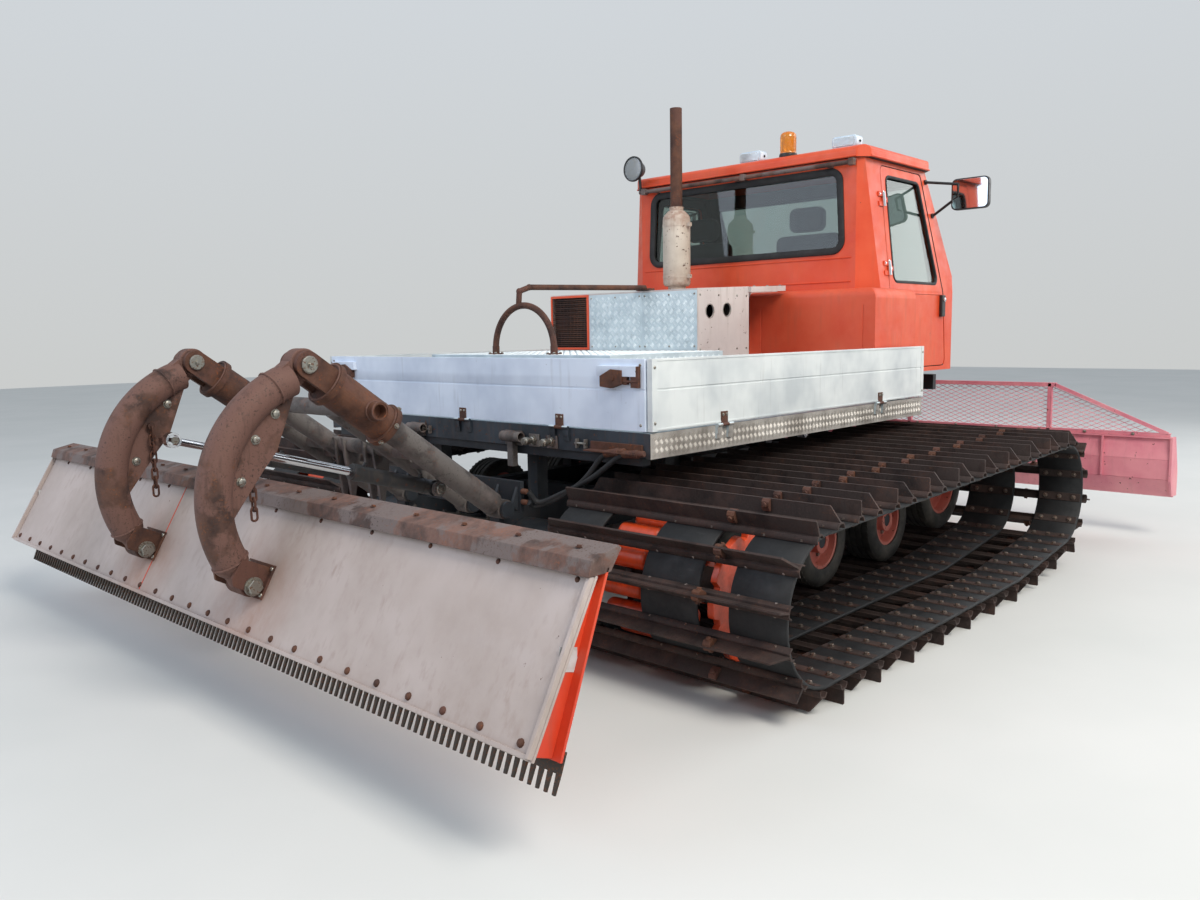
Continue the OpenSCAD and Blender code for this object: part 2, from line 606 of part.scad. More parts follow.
module door_left() { color("#e4572e") at() door_panel(); }
module door_right() { color("#e4572e") at() mirror([0, 1, 0]) door_panel(); }
module door_glass_left() { color("#3f4b50", 0.5) at() door_glass(); }
module door_glass_right() { color("#3f4b50", 0.5) at() mirror([0, 1, 0]) door_glass(); }
module seats() { color("#26282c") at() both() {
  box(2620, 3080, 180, 680, 1470, 1570);
  box(2560, 2660, 190, 670, 1570, 2060);
  box(2560, 2650, 300, 560, 2060, 2230);
  box(2700, 3000, 260, 600, cab_z0 + wall_t + 0.5, 1470);
} }
module controls() { color("#33363a") at() {
  box(3380, 3560, -850, 850, 1480, 1600);
  box(3440, 3520, -700, 700, cab_z0 + wall_t + 0.5, 1480);
  // steering wheel with three spokes on its column
  hub = [3330, 430, 1660];
  bar(hub, [3430, 430, 1590], 22);
  translate(hub) rotate([0, -60, 0]) {
    rotate_extrude() translate([185, 0]) circle(r = 15);
    for (k = [0:2]) rotate([0, 0, k*120]) bar([0, 0, 0], [185, 0, 0], 10);
  }
} }
module mirrors() { color("#2a2a2a") at() both() {
  for (f = [[3300, 2400], [3365, 2180]]) translate([f[0], side_y(f[1]), f[1]]) rotate([atan(lean), 0, 0])
    translate([0, seat_gap, 0]) rotate([-90, 0, 0]) cylinder(h = 12, r = 17);
  bar([3300, side_y(2400) + 9, 2400], [3345, 1130, 2370], 9);
  bar([3345, 1130, 2375], [3350, 1130, 2285], 9);
  bar([3365, side_y(2180) + 9, 2180], [3350, 1130, 2290], 9);
  translate([3345, 0, 0]) rotate([90, 0, 90]) linear_extrude(height = 34)
    polygon(rounded([[1085, 2200], [1335, 2200], [1335, 2405], [1085, 2405]], 35));
} }
module beacon() { color("#f29a0c") at() translate([2520, -330, roof_z]) {
  cylinder(h = 30, r = 52);
  translate([0, 0, 30]) cylinder(h = 120, r = 46);
} }
// Work lamps on the roof and head lamps on the nose
module lamps() { color("#dfe6ea") at() {
  for (y = [-60, -760]) translate([2475, 0, 0]) rotate([90, 0, 90]) linear_extrude(height = 85)
    polygon(rounded([[y - 85, roof_z + 0.5], [y + 85, roof_z + 0.5],
      [y + 85, roof_z + 74.5], [y - 85, roof_z + 74.5]], 20, 3));
  both() for (y = [560, 740]) translate([cab_x1 + seat_gap, y, 1340]) rotate([0, 90, 0]) {
    cylinder(h = 30, r = 55);
    translate([0, 0, 25]) cylinder(h = 40, r = 78);
  }
} }
module gutter_lamp() { color("#3a3a3a") at() {
  bar([2395, -850, 2440], [2395, 850, 2440], 14);
  for (y = [-700, 0, 700]) box(2390, 2439.5, y - 12, y + 12, 2425, 2455);
  bar([2395, 840, 2440], [2380, 840, 2560], 10);
  translate([2350, 840, 2600]) rotate([0, -90, 0]) cylinder(h = 80, r1 = 50, r2 = 88, center = true);
} }

// Hydraulic hoses from the couplings under the tailgate to the rear cross plate
module hoses() { color("#26282c") at() {
  side = -bed_half_w;
  box(-60, -10, side + 46, side + 346, 905, 911);
  box(-12, -seat_gap, side + 46, side + 346, 895, 945);
  for (k = [0, 1]) {
    path = [[-35, side + 78 + k*110, 900], [-40, side + 146 + k*100, 850 - k*10],
            [-50, side + 326 + k*46, 770 - k*16],
            [-62, -742 + k*16, 690 - k*20], [-90, -640 + k*26, 650 - k*20], [-129, -612, 700 - k*50]];
    for (i = [0:len(path) - 2]) bar(path[i], path[i + 1], 9);
    for (i = [1:len(path) - 2]) translate(path[i]) sphere(r = 10);
    translate([-35, side + 78 + k*110, 880]) cylinder(h = 60, r = 15);
    bar([-129, -618, 700 - k*50], [-129, -570 - seat_gap, 700 - k*50], 13);
  }
} }

// Rear lift frame: two long tubes with thick sleeves and clevis forks
u_lift = (clevis_p - lift_p)/norm(clevis_p - lift_p);
l_lift = norm(clevis_p - lift_p);
function along(s) = lift_p + u_lift*s;
module rear_lift_frame() { color("#5d4a42") at() difference() {
  union() {
    both() {
      bar(xz(along(44), arm_y), xz(along(l_lift - 130), arm_y), 54);
      bar(xz(along(l_lift - 460), arm_y), xz(along(l_lift - 125), arm_y), 78);
      for (s = [l_lift - 460, l_lift - 150]) bar(xz(along(s), arm_y), xz(along(s + 26), arm_y), 92);
      // clevis fork
      for (y = [-62, 40]) section(arm_y + y, arm_y + y + 22) union() {
        translate(clevis_p) circle(r = 52);
        strip(along(l_lift - 140), clevis_p, 104);
      }
      ybar(clevis_p, arm_y - 62, arm_y + 62, 20);
      // hinge sleeves at the frame
      ybar(lift_p, arm_y - 50, arm_y + 50, 46);
      ybar(lift_p, 212, 288, 46);
      // struts
      bar(xz(along(43), 250), xz(along(l_lift - 330), 250), 44);
      // tilt cylinder brackets
      for (y = [290, 395]) section(y, y + 16) lug(tilt_base_p, along(330), along(480), 34);
      ybar(tilt_base_p, 290, 411, 16);
      // lift cylinder lugs
      for (y = [75, 147]) section(y, y + 18) lug(lift_eye_p, along(450), along(570), 34);
      ybar(lift_eye_p, 75, 165, 10);
    }
    // cross tubes
    ybar(along(l_lift - 330), -600, 600, 36);
    ybar(along(510), -arm_y, arm_y, 34);
    ybar(along(400), -arm_y, arm_y, 28);
  }
  both() ybar(along(l_lift - 330), 560, 620, 28);
  both() ybar(lift_p, 200, 300, 18.05);
  both() ybar(lift_p, 420, 545, 18.05);
} }
// Cylinders: base point, eye point, y, barrel length, rod radius, barrel radius
LIFT_CYL = [lift_base_p, lift_eye_p, 120, 420, 18, 34];
TILT_CYL = [tilt_base_p, tilt_eye_p, 350, 430, 18, 34];
BLADE_CYL = [blade_base_p, blade_eye_p, 190, 330, 18, 32];
// Part 0 is the barrel with its base eye, part 1 the rod with the eye at its end
module cylinder_pair(c, part) {
  a = c[0];
  b = c[1];
  y = c[2];
  barrel_l = c[3];
  rod_r = c[4];
  barrel_r = c[5];
  u = (b - a)/norm(b - a);
  if (part == 0) difference() {
    union() {
      bar(xz(a, y), xz(a + u*barrel_l, y), barrel_r);
      ybar(a, y - 25, y + 25, barrel_r + 2);
    }
    ybar(a, y - 40, y + 40, 16.05);
    bar(xz(a + u*70, y), xz(a + u*(barrel_l + 5), y), rod_r + 0.05);
  }
  if (part == 1) difference() {
    union() {
      bar(xz(a + u*max(140, barrel_l - 230), y), xz(b, y), rod_r);
      ybar(b, y - 20, y + 20, 34);
    }
    ybar(b, y - 40, y + 40, 24);
  }
}
module lift_barrels() { color("#2c2f33") at() both() cylinder_pair(LIFT_CYL, 0); }
module lift_rods() { color("#d8dade") at() both() cylinder_pair(LIFT_CYL, 1); }
module tilt_barrels() { color("#2c2f33") at() both() cylinder_pair(TILT_CYL, 0); }
module tilt_rods() { color("#d8dade") at() both() cylinder_pair(TILT_CYL, 1); }

module gooseneck_arms() { color("#6e4f45") at() both() difference() {
  union() {
    translate([neck_c[0], arm_y, neck_c[1]]) rotate([90, 0, 0]) rotate([0, 0, 110])
      rotate_extrude(angle = 106) translate([neck_r, 0]) circle(r = neck_tube_r);
    ybar(clevis_p, arm_y - 34, arm_y + 34, 62);
    section(arm_y - 30, arm_y + 30) strip(clevis_p, neck_c + neck_r*[cos(115), sin(115)], 100);
    // web inside the bend, with the cylinder's stub pin
    section(arm_y - 10, arm_y + 10) polygon([for (a = [112:9:193]) neck_c + (neck_r - 20)*[cos(a), sin(a)],
      tilt_eye_p + [-20, -60], tilt_eye_p + [40, 10], clevis_p + [-10, -40]]);
    ybar(tilt_eye_p, 325, arm_y, 9);
    // foot bracket on the board
    section(arm_y - 75, arm_y + 75) polygon([on_plate(236, plate_skin), on_plate(345, plate_skin),
      on_plate(345, 125), on_plate(322, 140), on_plate(240, 132)]);
    ybar([-1450, 520], arm_y - 95, arm_y + 95, 22);
  }
  ybar(clevis_p, arm_y - 80, arm_y + 80, 20.05);
} }
// Chains that hang from a hexagon bolt on each web, five links of flat bar each
link = 60;
module chain(p, y) {
  for (k = [0:4]) translate([p[0], y, p[1] + 2 - (k + 1)*link]) rotate([0, 0, k*90])
    translate([-14, -4, 0]) cube([28, 8, link]);
}
chain_p = [-1375, 1050];
module chains() { color("#5a4a42") at() both() {
  section(arm_y - 40, arm_y - 10 - seat_gap) translate(chain_p) polygon(ring(16, 6));
  chain(chain_p, arm_y - 34);
} }
// Smoother board: a rear plate and a front plate that meet at the top
plate_top = [-1250, 775];
plate_low = [-1500, 335];
inner_top = [-1205, 790];
inner_low = [-1400, 300];
u_plate = (plate_low - plate_top)/norm(plate_low - plate_top);
u_inner = (inner_low - inner_top)/norm(inner_low - inner_top);
plate_skin = 5 + seat_gap;
// A point s down the rear plate and o out from its middle
function on_plate(s, o) = plate_top + u_plate*s + [u_plate[1], -u_plate[0]]*o;
module smoother_board() { color("#a8968d") at() difference() {
  union() {
    section(-smooth_half_w, smooth_half_w) {
      strip(plate_top, plate_low, 10);
      strip(inner_top, inner_low, 10);
      polygon([[-1285, 775], [-1195, 775], [-1150, 835], [-1162, 845], [-1270, 820]]);
    }
    for (i = [0:6]) translate([0, -smooth_half_w + 30 + i*(2*smooth_half_w - 72)/6, 0])
      section(0, 12) polygon([plate_top, plate_low + [4, 6], inner_low + [-4, 6], inner_top]);
  }
} }
module comb() { color("#5a5450") at() {
  p = inner_low - [u_inner[1], -u_inner[0]]*plate_skin;
  translate([p[0], 0, p[1]]) rotate([0, atan2(u_inner[0], u_inner[1]) + 180, 0]) rotate([90, 0, 90])
    linear_extrude(height = 8) polygon([
      [-smooth_half_w, 30], for (i = [0:floor((2*smooth_half_w - 16)/32)]) let(y = -smooth_half_w + 8 + i*32)
        each [[y - 8, -30], [y - 5, -85], [y + 5, -85], [y + 8, -30]],
      [smooth_half_w, 30]]);
} }

module front_lift_frame() { color("#30343a") at() difference() {
  union() {
    both() {
      bar(xz(push_p, 381), [blade_x - 40, 381, 470], 38);
      ybar(push_p, 338, 424, 44);
      for (y = [150, 222]) section(y, y + 16) union() {
        translate(blade_eye_p) circle(r = 34);
        polygon([blade_eye_p + [-34, 0], blade_eye_p + [34, 0], [3756, 445], [3704, 445]]);
      }
      ybar(blade_eye_p, 150, 238, 10);
    }
    ybar([3730, 445], -420, 420, 30);
    box(blade_x - 60, blade_x - 31 - seat_gap, -500, 500, 400, 560);
  }
  both() ybar(push_p, 300, 450, 20.05);
} }
blade_fold = [blade_x, blade_z + 120];
module front_blade() { color("#c8607a") at() {
  section(-blade_half_w, blade_half_w) {
    strip([blade_x + 70, blade_z], blade_fold, 12);
    strip(blade_fold, [blade_x - 12, blade_z + 250], 12);
    strip([blade_x - 12, blade_z + 250], [blade_x + 14, blade_z + blade_h - 3], 12);
    polygon([[blade_x - 15, blade_z + blade_h - 10], [blade_x + 40, blade_z + blade_h - 10],
             [blade_x + 40, blade_z + blade_h], [blade_x - 15, blade_z + blade_h]]);
  }
  // end plates and the ribs behind the mouldboard
  both() section(blade_half_w - 14, blade_half_w)
    polygon([[blade_x + blade_reach, blade_z], [blade_x + 20, blade_z + 10],
      [blade_x - 25, blade_z + 110], [blade_x - 30, blade_z + blade_h],
      [blade_x + 60, blade_z + blade_h], [blade_x + blade_reach, blade_z + 160]]);
  for (i = [-3:3]) section(i*640 - 5, i*640 + 5)
    polygon([[blade_x - 4, blade_z + 110], [blade_x - 31, blade_z + 130],
      [blade_x - 31, blade_z + blade_h - 5], [blade_x, blade_z + blade_h - 5],
      [blade_x - 14, blade_z + 250]]);
} }
// Guard over the blade: an angle frame with its mesh as a thin panel
guard_w = blade_half_w - 20;
guard_flat = 1600;
module blade_guard() { color("#b8506a") at()
  translate([blade_x - 6, 0, blade_z + blade_h + 0.5]) rotate([90, 0, 90]) {
  linear_extrude(height = 32) {
    strip([-guard_w, 12], [guard_w, 12], 24);
    strip([-guard_flat, guard_h - 14], [guard_flat, guard_h - 14], 28);
    for (s = [-1, 1]) strip([s*(guard_flat - 8), guard_h - 13], [s*(guard_w - 14), 20], 26);
    for (y = [-1560, -530, 530, 1560]) strip([y, 4], [y, guard_h - 4], 28);
  }
  translate([0, 0, 26]) linear_extrude(height = 5)
    polygon([[-guard_w + 30, 4], [guard_w - 30, 4], [guard_w - 40, 30], [guard_flat, guard_h - 6],
             [-guard_flat, guard_h - 6], [-guard_w + 40, 30]]);
} }
module blade_barrels() { color("#2c2f33") at() both() cylinder_pair(BLADE_CYL, 0); }
module blade_rods() { color("#d8dade") at() both() cylinder_pair(BLADE_CYL, 1); }

chassis_frame();
body_bearers();
cab_bearers();
rear_hitch();
front_hitch();
axles();
engine_block();
track_right();
track_left();
tyres();
rims();
sprockets();
bed_floor();
side_board_right();
side_board_left();
tailgate();
deck_box();
engine_cover();
radiator_grille();
muffler();
exhaust_pipe();
load_hoop();
lockers();
cab_shell();
cab_roof();
cab_glass();
door_right();
door_left();
door_glass_right();
door_glass_left();
seats();
controls();
mirrors();
beacon();
lamps();
gutter_lamp();
hoses();
rear_lift_frame();
lift_barrels();
lift_rods();
gooseneck_arms();
chains();
smoother_board();
comb();
tilt_barrels();
tilt_rods();
front_lift_frame();
front_blade();
blade_guard();
blade_barrels();
blade_rods();
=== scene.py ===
"""Visual model of a tracked snow groomer, built round its packed construction.

Lengths in the classes are millimetres. Stations along X are measured from the
load bed's rear edge, y from the centre plane and z from the ground, as on the
machine's own drawing; spot() turns them into the frame's metres.
"""

from __future__ import annotations

import logging
from dataclasses import dataclass
from enum import Enum
from math import acos, atan2, cos, hypot, pi, radians, sin, sqrt, tan
from typing import Any, Callable, ClassVar, Iterable, Sequence

import bmesh
import bpy
from bpy.types import Material, NodeSocket, NodeTree, Object
from mathutils import Matrix, Vector

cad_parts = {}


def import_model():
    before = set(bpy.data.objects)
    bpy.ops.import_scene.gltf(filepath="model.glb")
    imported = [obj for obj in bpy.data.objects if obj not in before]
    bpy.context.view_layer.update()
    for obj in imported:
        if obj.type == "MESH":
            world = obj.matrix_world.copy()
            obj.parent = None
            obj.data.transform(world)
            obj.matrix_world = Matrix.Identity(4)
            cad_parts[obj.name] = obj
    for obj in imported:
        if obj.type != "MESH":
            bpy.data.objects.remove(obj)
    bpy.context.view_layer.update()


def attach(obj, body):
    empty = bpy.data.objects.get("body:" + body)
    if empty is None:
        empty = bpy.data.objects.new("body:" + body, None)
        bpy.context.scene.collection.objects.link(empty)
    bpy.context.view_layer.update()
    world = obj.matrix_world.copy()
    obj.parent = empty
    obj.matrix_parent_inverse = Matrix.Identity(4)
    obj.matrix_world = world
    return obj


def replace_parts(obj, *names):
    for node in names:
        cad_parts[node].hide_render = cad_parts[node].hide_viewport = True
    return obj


LOG = logging.getLogger("groomer")
MM = 0.001
MID_STATION = 1263.0

Pair = tuple[float, float]
Triple = tuple[float, float, float]
Outline = Sequence[Pair]
Line = Sequence[Vector]

UP = Vector((0, 0, 1))
AHEAD = Vector((1, 0, 0))
BACK = Vector((-1, 0, 0))
LEFTWARD = Vector((0, 1, 0))
RIGHTWARD = Vector((0, -1, 0))


class Side(Enum):
    """A side of the machine, with its sign along Y."""

    RIGHT = -1
    LEFT = 1

    @property
    def word(self) -> str:
        """The side's name as the nodes spell it."""
        return self.name.lower()

    @property
    def out(self) -> Vector:
        """Unit direction away from the machine on this side."""
        return Vector((0, self.value, 0))


class RibEnd(Enum):
    """How far a cleat's rib is cut back at its top corners, in millimetres."""

    SQUARE = 0.0
    OBLIQUE = 45.0


def spot(x: float, y: float, z: float) -> Vector:
    """Turns a station, y and z in millimetres into a point of the frame in metres."""
    return Vector(((x - MID_STATION) * MM, y * MM, z * MM))


def circle(count: int, shift: float = 0.0) -> list[Pair]:
    """Cosine and sine of count even steps round a circle, turned by a share of a step."""
    turns = [2 * pi * (k + shift) / count for k in range(count)]
    return [(cos(t), sin(t)) for t in turns]


def linear(hex_colour: str) -> tuple[float, float, float, float]:
    """Turns an sRGB colour into the linear one that the shaders take.

    Args:
        hex_colour: Six hex digits, such as "E2582F".

    Returns:
        Red, green, blue and an alpha of 1.
    """
    parts = [int(hex_colour[i : i + 2], 16) / 255 for i in (0, 2, 4)]
    red, green, blue = (c / 12.92 if c <= 0.04045 else ((c + 0.055) / 1.055) ** 2.4 for c in parts)
    return (red, green, blue, 1.0)


def add_node(tree: NodeTree, kind: str, links: dict[Any, Any] | None = None, **settings: Any) -> Any:
    """Adds a shader node.

    Args:
        tree: The material's or world's node tree.
        kind: The node's class name.
        links: Values or output sockets for its inputs, by name or index.
        settings: The node's own properties.

    Returns:
        The new node.
    """
    node = tree.nodes.new(kind)
    for key, value in settings.items():
        setattr(node, key, value)
    for key, value in (links or {}).items():
        if isinstance(value, NodeSocket):
            tree.links.new(value, node.inputs[key])
        else:
            node.inputs[key].default_value = value
    return node


class Surface:
    """The node tree of one material: its place coordinates, patterns and shader."""

    def __init__(self, name: str) -> None:
        """Starts a material with a Principled shader.

        Args:
            name: The material's name.
        """
        self.material = bpy.data.materials.new(name)
        self.material.use_nodes = True
        self.tree = self.material.node_tree
        self.shader = self.tree.nodes["Principled BSDF"]
        self.place = add_node(self.tree, "ShaderNodeTexCoord").outputs["Object"]

    def noise(self, size_mm: float, detail: float = 3.0, stretch: Triple = (1, 1, 1)) -> Any:
        """Adds a noise that sits still on the object.

        Args:
            size_mm: How far its grains are across, about.
            detail: How many finer layers it has.
            stretch: Factors along X, Y and Z, where a small one draws the grains out.

        Returns:
            The socket of its value.
        """
        where = self.place
        if stretch != (1, 1, 1):
            where = add_node(self.tree, "ShaderNodeMapping",
                             {"Vector": self.place, "Scale": stretch}).outputs[0]
        links = {"Vector": where, "Scale": 1 / (size_mm * MM), "Detail": detail, "Roughness": 0.6}
        return add_node(self.tree, "ShaderNodeTexNoise", links).outputs["Fac"]

    def mask(self, value: Any, low: float, high: float, out: Pair = (0.0, 1.0)) -> Any:
        """Spreads value between low and high over the range out, held at its ends."""
        links = {"Value": value, "From Min": low, "From Max": high, "To Min": out[0], "To Max": out[1]}
        return add_node(self.tree, "ShaderNodeMapRange", links).outputs["Result"]

    def times(self, a: Any, b: Any) -> Any:
        """Multiplies two masks."""
        return add_node(self.tree, "ShaderNodeMath", {0: a, 1: b}, operation="MULTIPLY").outputs[0]

    def blend(self, factor: Any, a: Any, b: Any) -> Any:
        """Lays colour b over colour a where a mask is."""
        return add_node(self.tree, "ShaderNodeMix", {0: factor, 6: a, 7: b}, data_type="RGBA").outputs[2]

    def layer(self, under: Any, over: str, size_mm: float, low: float, high: float, most: float = 1.0,
              detail: float = 3.0, stretch: Triple = (1, 1, 1)) -> Any:
        """Lays a colour in patches over another.

        Args:
            under: The colour below, or its socket.
            over: The patches' colour.
            size_mm: How far the patches are across, about.
            low: Where in the noise they start to show.
            high: Where they show most.
            most: How much they then cover.
            detail: How many finer layers the noise has.
            stretch: Factors along X, Y and Z, where a small one draws them out.

        Returns:
            The socket of the colour.
        """
        patches = self.mask(self.noise(size_mm, detail, stretch), low, high, (0.0, most))
        return self.blend(patches, linear(under) if isinstance(under, str) else under, linear(over))

    def gloss(self, size_mm: float, low: float, high: float, detail: float = 3.0) -> Any:
        """Adds a roughness that wanders between low and high."""
        return self.mask(self.noise(size_mm, detail), 0.3, 0.7, (low, high))

    def height(self) -> Any:
        """The height above the ground, in metres."""
        return add_node(self.tree, "ShaderNodeSeparateXYZ", {0: self.place}).outputs["Z"]

    def near(self, point: Vector, reach_mm: float) -> Any:
        """Adds a mask that is 1 at a point and falls to 0 away from it.

        Args:
            point: The point, in the frame's metres.
            reach_mm: How far off it is 0.

        Returns:
            The mask's socket.
        """
        links = {0: self.place, 1: tuple(point)}
        away = add_node(self.tree, "ShaderNodeVectorMath", links, operation="DISTANCE").outputs["Value"]
        return self.mask(away, 0.0, reach_mm * MM, (1.0, 0.0))

    def bump(self, value: Any, depth_mm: float, strength: float = 1.0, under: Any = None) -> Any:
        """Adds a bump.

        Args:
            value: The pattern that gives its height.
            depth_mm: Its depth where the pattern is 1.
            strength: How much of it shows.
            under: A bump that it lies over.

        Returns:
            The socket of its normal.
        """
        links = {"Height": value, "Distance": depth_mm * MM, "Strength": strength}
        if under is not None:
            links["Normal"] = under
        return add_node(self.tree, "ShaderNodeBump", links).outputs["Normal"]

    def finish(self, colour: Any, roughness: Any, normal: Any = None, **others: Any) -> Material:
        """Sets the shader's inputs.

        Args:
            colour: The base colour, or its socket.
            roughness: The roughness, or its socket.
            normal: The socket of its bumps.
            others: Other inputs, spelt with a line below for a space.

        Returns:
            The material.
        """
        links = {"Base Color": colour, "Roughness": roughness, "Normal": normal}
        links |= {key.replace("_", " "): value for key, value in others.items()}
        for key, value in links.items():
            if isinstance(value, NodeSocket):
                self.tree.links.new(value, self.shader.inputs[key])
            elif value is not None:
                self.shader.inputs[key].default_value = value
        return self.material


@dataclass(frozen=True)
class Finish:
    """A real material and how its surface was made."""

    name: str
    slot: str

    def material(self) -> Material:
        """Returns the material, made once."""
        return bpy.data.materials.get(self.name) or self.make(Surface(self.name))

    def make(self, surface: Surface) -> Material:
        """Fills the surface. Each kind of finish has its own."""
        raise NotImplementedError


@dataclass(frozen=True)
class Enamel(Finish):
    """Alkyd enamel sprayed on sheet steel: a soft gloss that chalks in the sun, with dirt and rust chips."""

    colour: str
    faded: str
    roughness: float = 0.42
    dirt: float = 0.35
    chips: float = 0.30
    dirt_colour: str = "5E5145"
    rust_colour: str = "4A2A1C"
    fade_size_mm: float = 520.0
    streak_size_mm: float = 34.0
    chip_size_mm: float = 26.0
    peel_size_mm: float = 5.0  # coarser than real orange peel, so that it shows

    def make(self, surface: Surface) -> Material:
        """Builds fading, streaks, chips and orange peel.

        Args:
            surface: The empty material.

        Returns:
            The finished material.
        """
        colour = surface.layer(self.colour, self.faded, self.fade_size_mm, 0.38, 0.66)
        colour = surface.layer(colour, self.faded, 55, 0.35, 0.75, 0.35)
        streaks = surface.noise(self.streak_size_mm, 4.0, (1.0, 1.0, 0.10))
        patches = surface.mask(surface.noise(260), 0.40, 0.68)
        dirt = surface.times(surface.mask(streaks, 0.50, 0.80, (0.0, self.dirt)), patches)
        colour = surface.blend(dirt, colour, linear(self.dirt_colour))
        chip_edge = 0.74 - 0.12 * self.chips
        chip = surface.mask(surface.noise(self.chip_size_mm, 6.0), chip_edge, chip_edge + 0.015)
        colour = surface.blend(chip, colour, linear(self.rust_colour))
        colour = self.weather(surface, colour)
        rough = surface.gloss(90, self.roughness - 0.07, self.roughness + 0.16)
        peel = surface.bump(surface.noise(self.peel_size_mm, 1.0), 0.10, 0.35)
        normal = surface.bump(chip, -0.35, 0.8, peel)
        return surface.finish(colour, rough, normal, IOR=1.5)

    def weather(self, surface: Surface, colour: Any) -> Any:
        """Adds what the weather did to one place only. Plain enamel has nothing."""
        return colour


@dataclass(frozen=True)
class RustStainedEnamel(Enamel):
    """Enamel that rusty brackets have bled on: an orange-brown haze round each foot, darkest below it."""

    stain: str = "8A5230"
    feet_y: Pair = (-500.0, 460.0)
    reach_mm: float = 330.0

    def weather(self, surface: Surface, colour: Any) -> Any:
        """Lays the haze round the two feet.

        Args:
            surface: The material in the making.
            colour: The enamel's colour so far.

        Returns:
            The stained colour.
        """
        broken = surface.mask(surface.noise(120, 5.0, (1, 1, 0.4)), 0.30, 0.70, (0.25, 1.0))
        for y in self.feet_y:
            haze = surface.near(spot(-1450, y, 450), self.reach_mm)
            strength = surface.mask(haze, 0.0, 0.9, (0.0, 0.72))
            colour = surface.blend(surface.times(strength, broken), colour, linear(self.stain))
        return colour


@dataclass(frozen=True)
class BakedEnamel(Enamel):
    """Enamel on a hot muffler: burnt to a brown bloom at its shoulder and rusting at its foot."""

    burnt: str = "8A5A44"
    ends_z: Pair = (1.74, 2.21)

    def weather(self, surface: Surface, colour: Any) -> Any:
        """Lays the bloom at both ends, broken by a noise.

        Args:
            surface: The material in the making.
            colour: The enamel's colour so far.

        Returns:
            The colour with the weather on it.
        """
        broken = surface.mask(surface.noise(45, 5.0), 0.35, 0.65, (0.2, 1.0))
        low, high = self.ends_z
        foot = surface.mask(surface.height(), low, low + 0.13, (0.6, 0.0))
        shoulder = surface.mask(surface.height(), high - 0.14, high, (0.0, 0.85))
        for band in (foot, shoulder):
            colour = surface.blend(surface.times(band, broken), colour, linear(self.burnt))
        return colour


@dataclass(frozen=True)
class RustySteel(Finish):
    """Hot-rolled steel that lost its paint: brown oxide with orange bloom, pits and rests of the old coat."""

    dark: str = "33221D"
    brown: str = "5E3F35"
    bloom: str = "8A4A28"
    old_paint: str = "6E4F45"
    paint_left: float = 0.4
    metallic: float = 0.15
    grain_mm: float = 9.0

    def make(self, surface: Surface) -> Material:
        """Builds oxide patches, bloom, old paint and pits.

        Args:
            surface: The empty material.

        Returns:
            The finished material.
        """
        broad = surface.noise(130, 5.0)
        fine = surface.noise(self.grain_mm, 6.0)
        colour = surface.blend(surface.mask(broad, 0.38, 0.62), linear(self.dark), linear(self.brown))
        bloom = surface.times(surface.mask(fine, 0.5, 0.72), surface.mask(surface.noise(70, 4.0), 0.48, 0.66))
        colour = surface.blend(bloom, colour, linear(self.bloom))
        left = surface.mask(surface.noise(210, 6.0), 0.60 - 0.22 * self.paint_left,
                            0.64 - 0.2 * self.paint_left)
        colour = surface.blend(surface.times(left, surface.mask(fine, 0.36, 0.44)), colour,
                               linear(self.old_paint))
        colour = surface.layer(colour, self.dark, 22, 0.55, 0.75, 0.45, 4.0, (1, 1, 0.12))
        rough = surface.mask(fine, 0.3, 0.7, (0.62, 0.86))
        normal = surface.bump(fine, 0.7, 0.7, surface.bump(broad, 1.5, 0.4))
        return surface.finish(colour, rough, normal, Metallic=self.metallic)


@dataclass(frozen=True)
class Rubber(Finish):
    """Vulcanised rubber with cord inside: a dull blue-black that dust greys, with a fine moulded grain."""

    colour: str = "24282C"
    dust: str = "6A665F"
    dusty: float = 0.35
    grain_mm: float = 5.0

    def make(self, surface: Surface) -> Material:
        """Builds dust, scuffs and grain.

        Args:
            surface: The empty material.

        Returns:
            The finished material.
        """
        colour = surface.layer(self.colour, self.dust, 150, 0.42, 0.78, self.dusty, 6.0)
        colour = surface.layer(colour, self.dust, 18, 0.6, 0.75, 0.25, 4.0, (1, 0.2, 1))
        rough = surface.gloss(60, 0.58, 0.78)
        normal = surface.bump(surface.noise(self.grain_mm, 2.0), 0.25, 0.5)
        return surface.finish(colour, rough, normal, IOR=1.52)


@dataclass(frozen=True)
class CoatedAluminium(Finish):
    """Drop-side plank of extruded aluminium, thinly coated white: pale, nearly matt, with fine lines."""

    colour: str = "DDE2E2"
    worn: str = "BFC6C9"
    grime: str = "77736C"
    along_x: bool = True

    def make(self, surface: Surface) -> Material:
        """Builds the drawn lines, worn patches and the grime that runs down.

        Args:
            surface: The empty material.

        Returns:
            The finished material.
        """
        stretch = (0.02, 1, 1) if self.along_x else (1, 0.02, 1)
        lines = surface.noise(7, 3.0, stretch)
        colour = surface.layer(self.colour, self.worn, 300, 0.4, 0.7)
        runs = surface.mask(surface.noise(26, 4.0, (1, 1, 0.07)), 0.56, 0.82, (0.0, 0.42))
        patches = surface.mask(surface.noise(340), 0.42, 0.62)
        colour = surface.blend(surface.times(runs, patches), colour, linear(self.grime))
        colour = surface.layer(colour, self.grime, 12, 0.72, 0.74, 0.7, 5.0)
        rough = surface.mask(lines, 0.3, 0.7, (0.38, 0.56))
        normal = surface.bump(lines, 0.12, 0.5)
        return surface.finish(colour, rough, normal, Metallic=0.12, IOR=1.5)


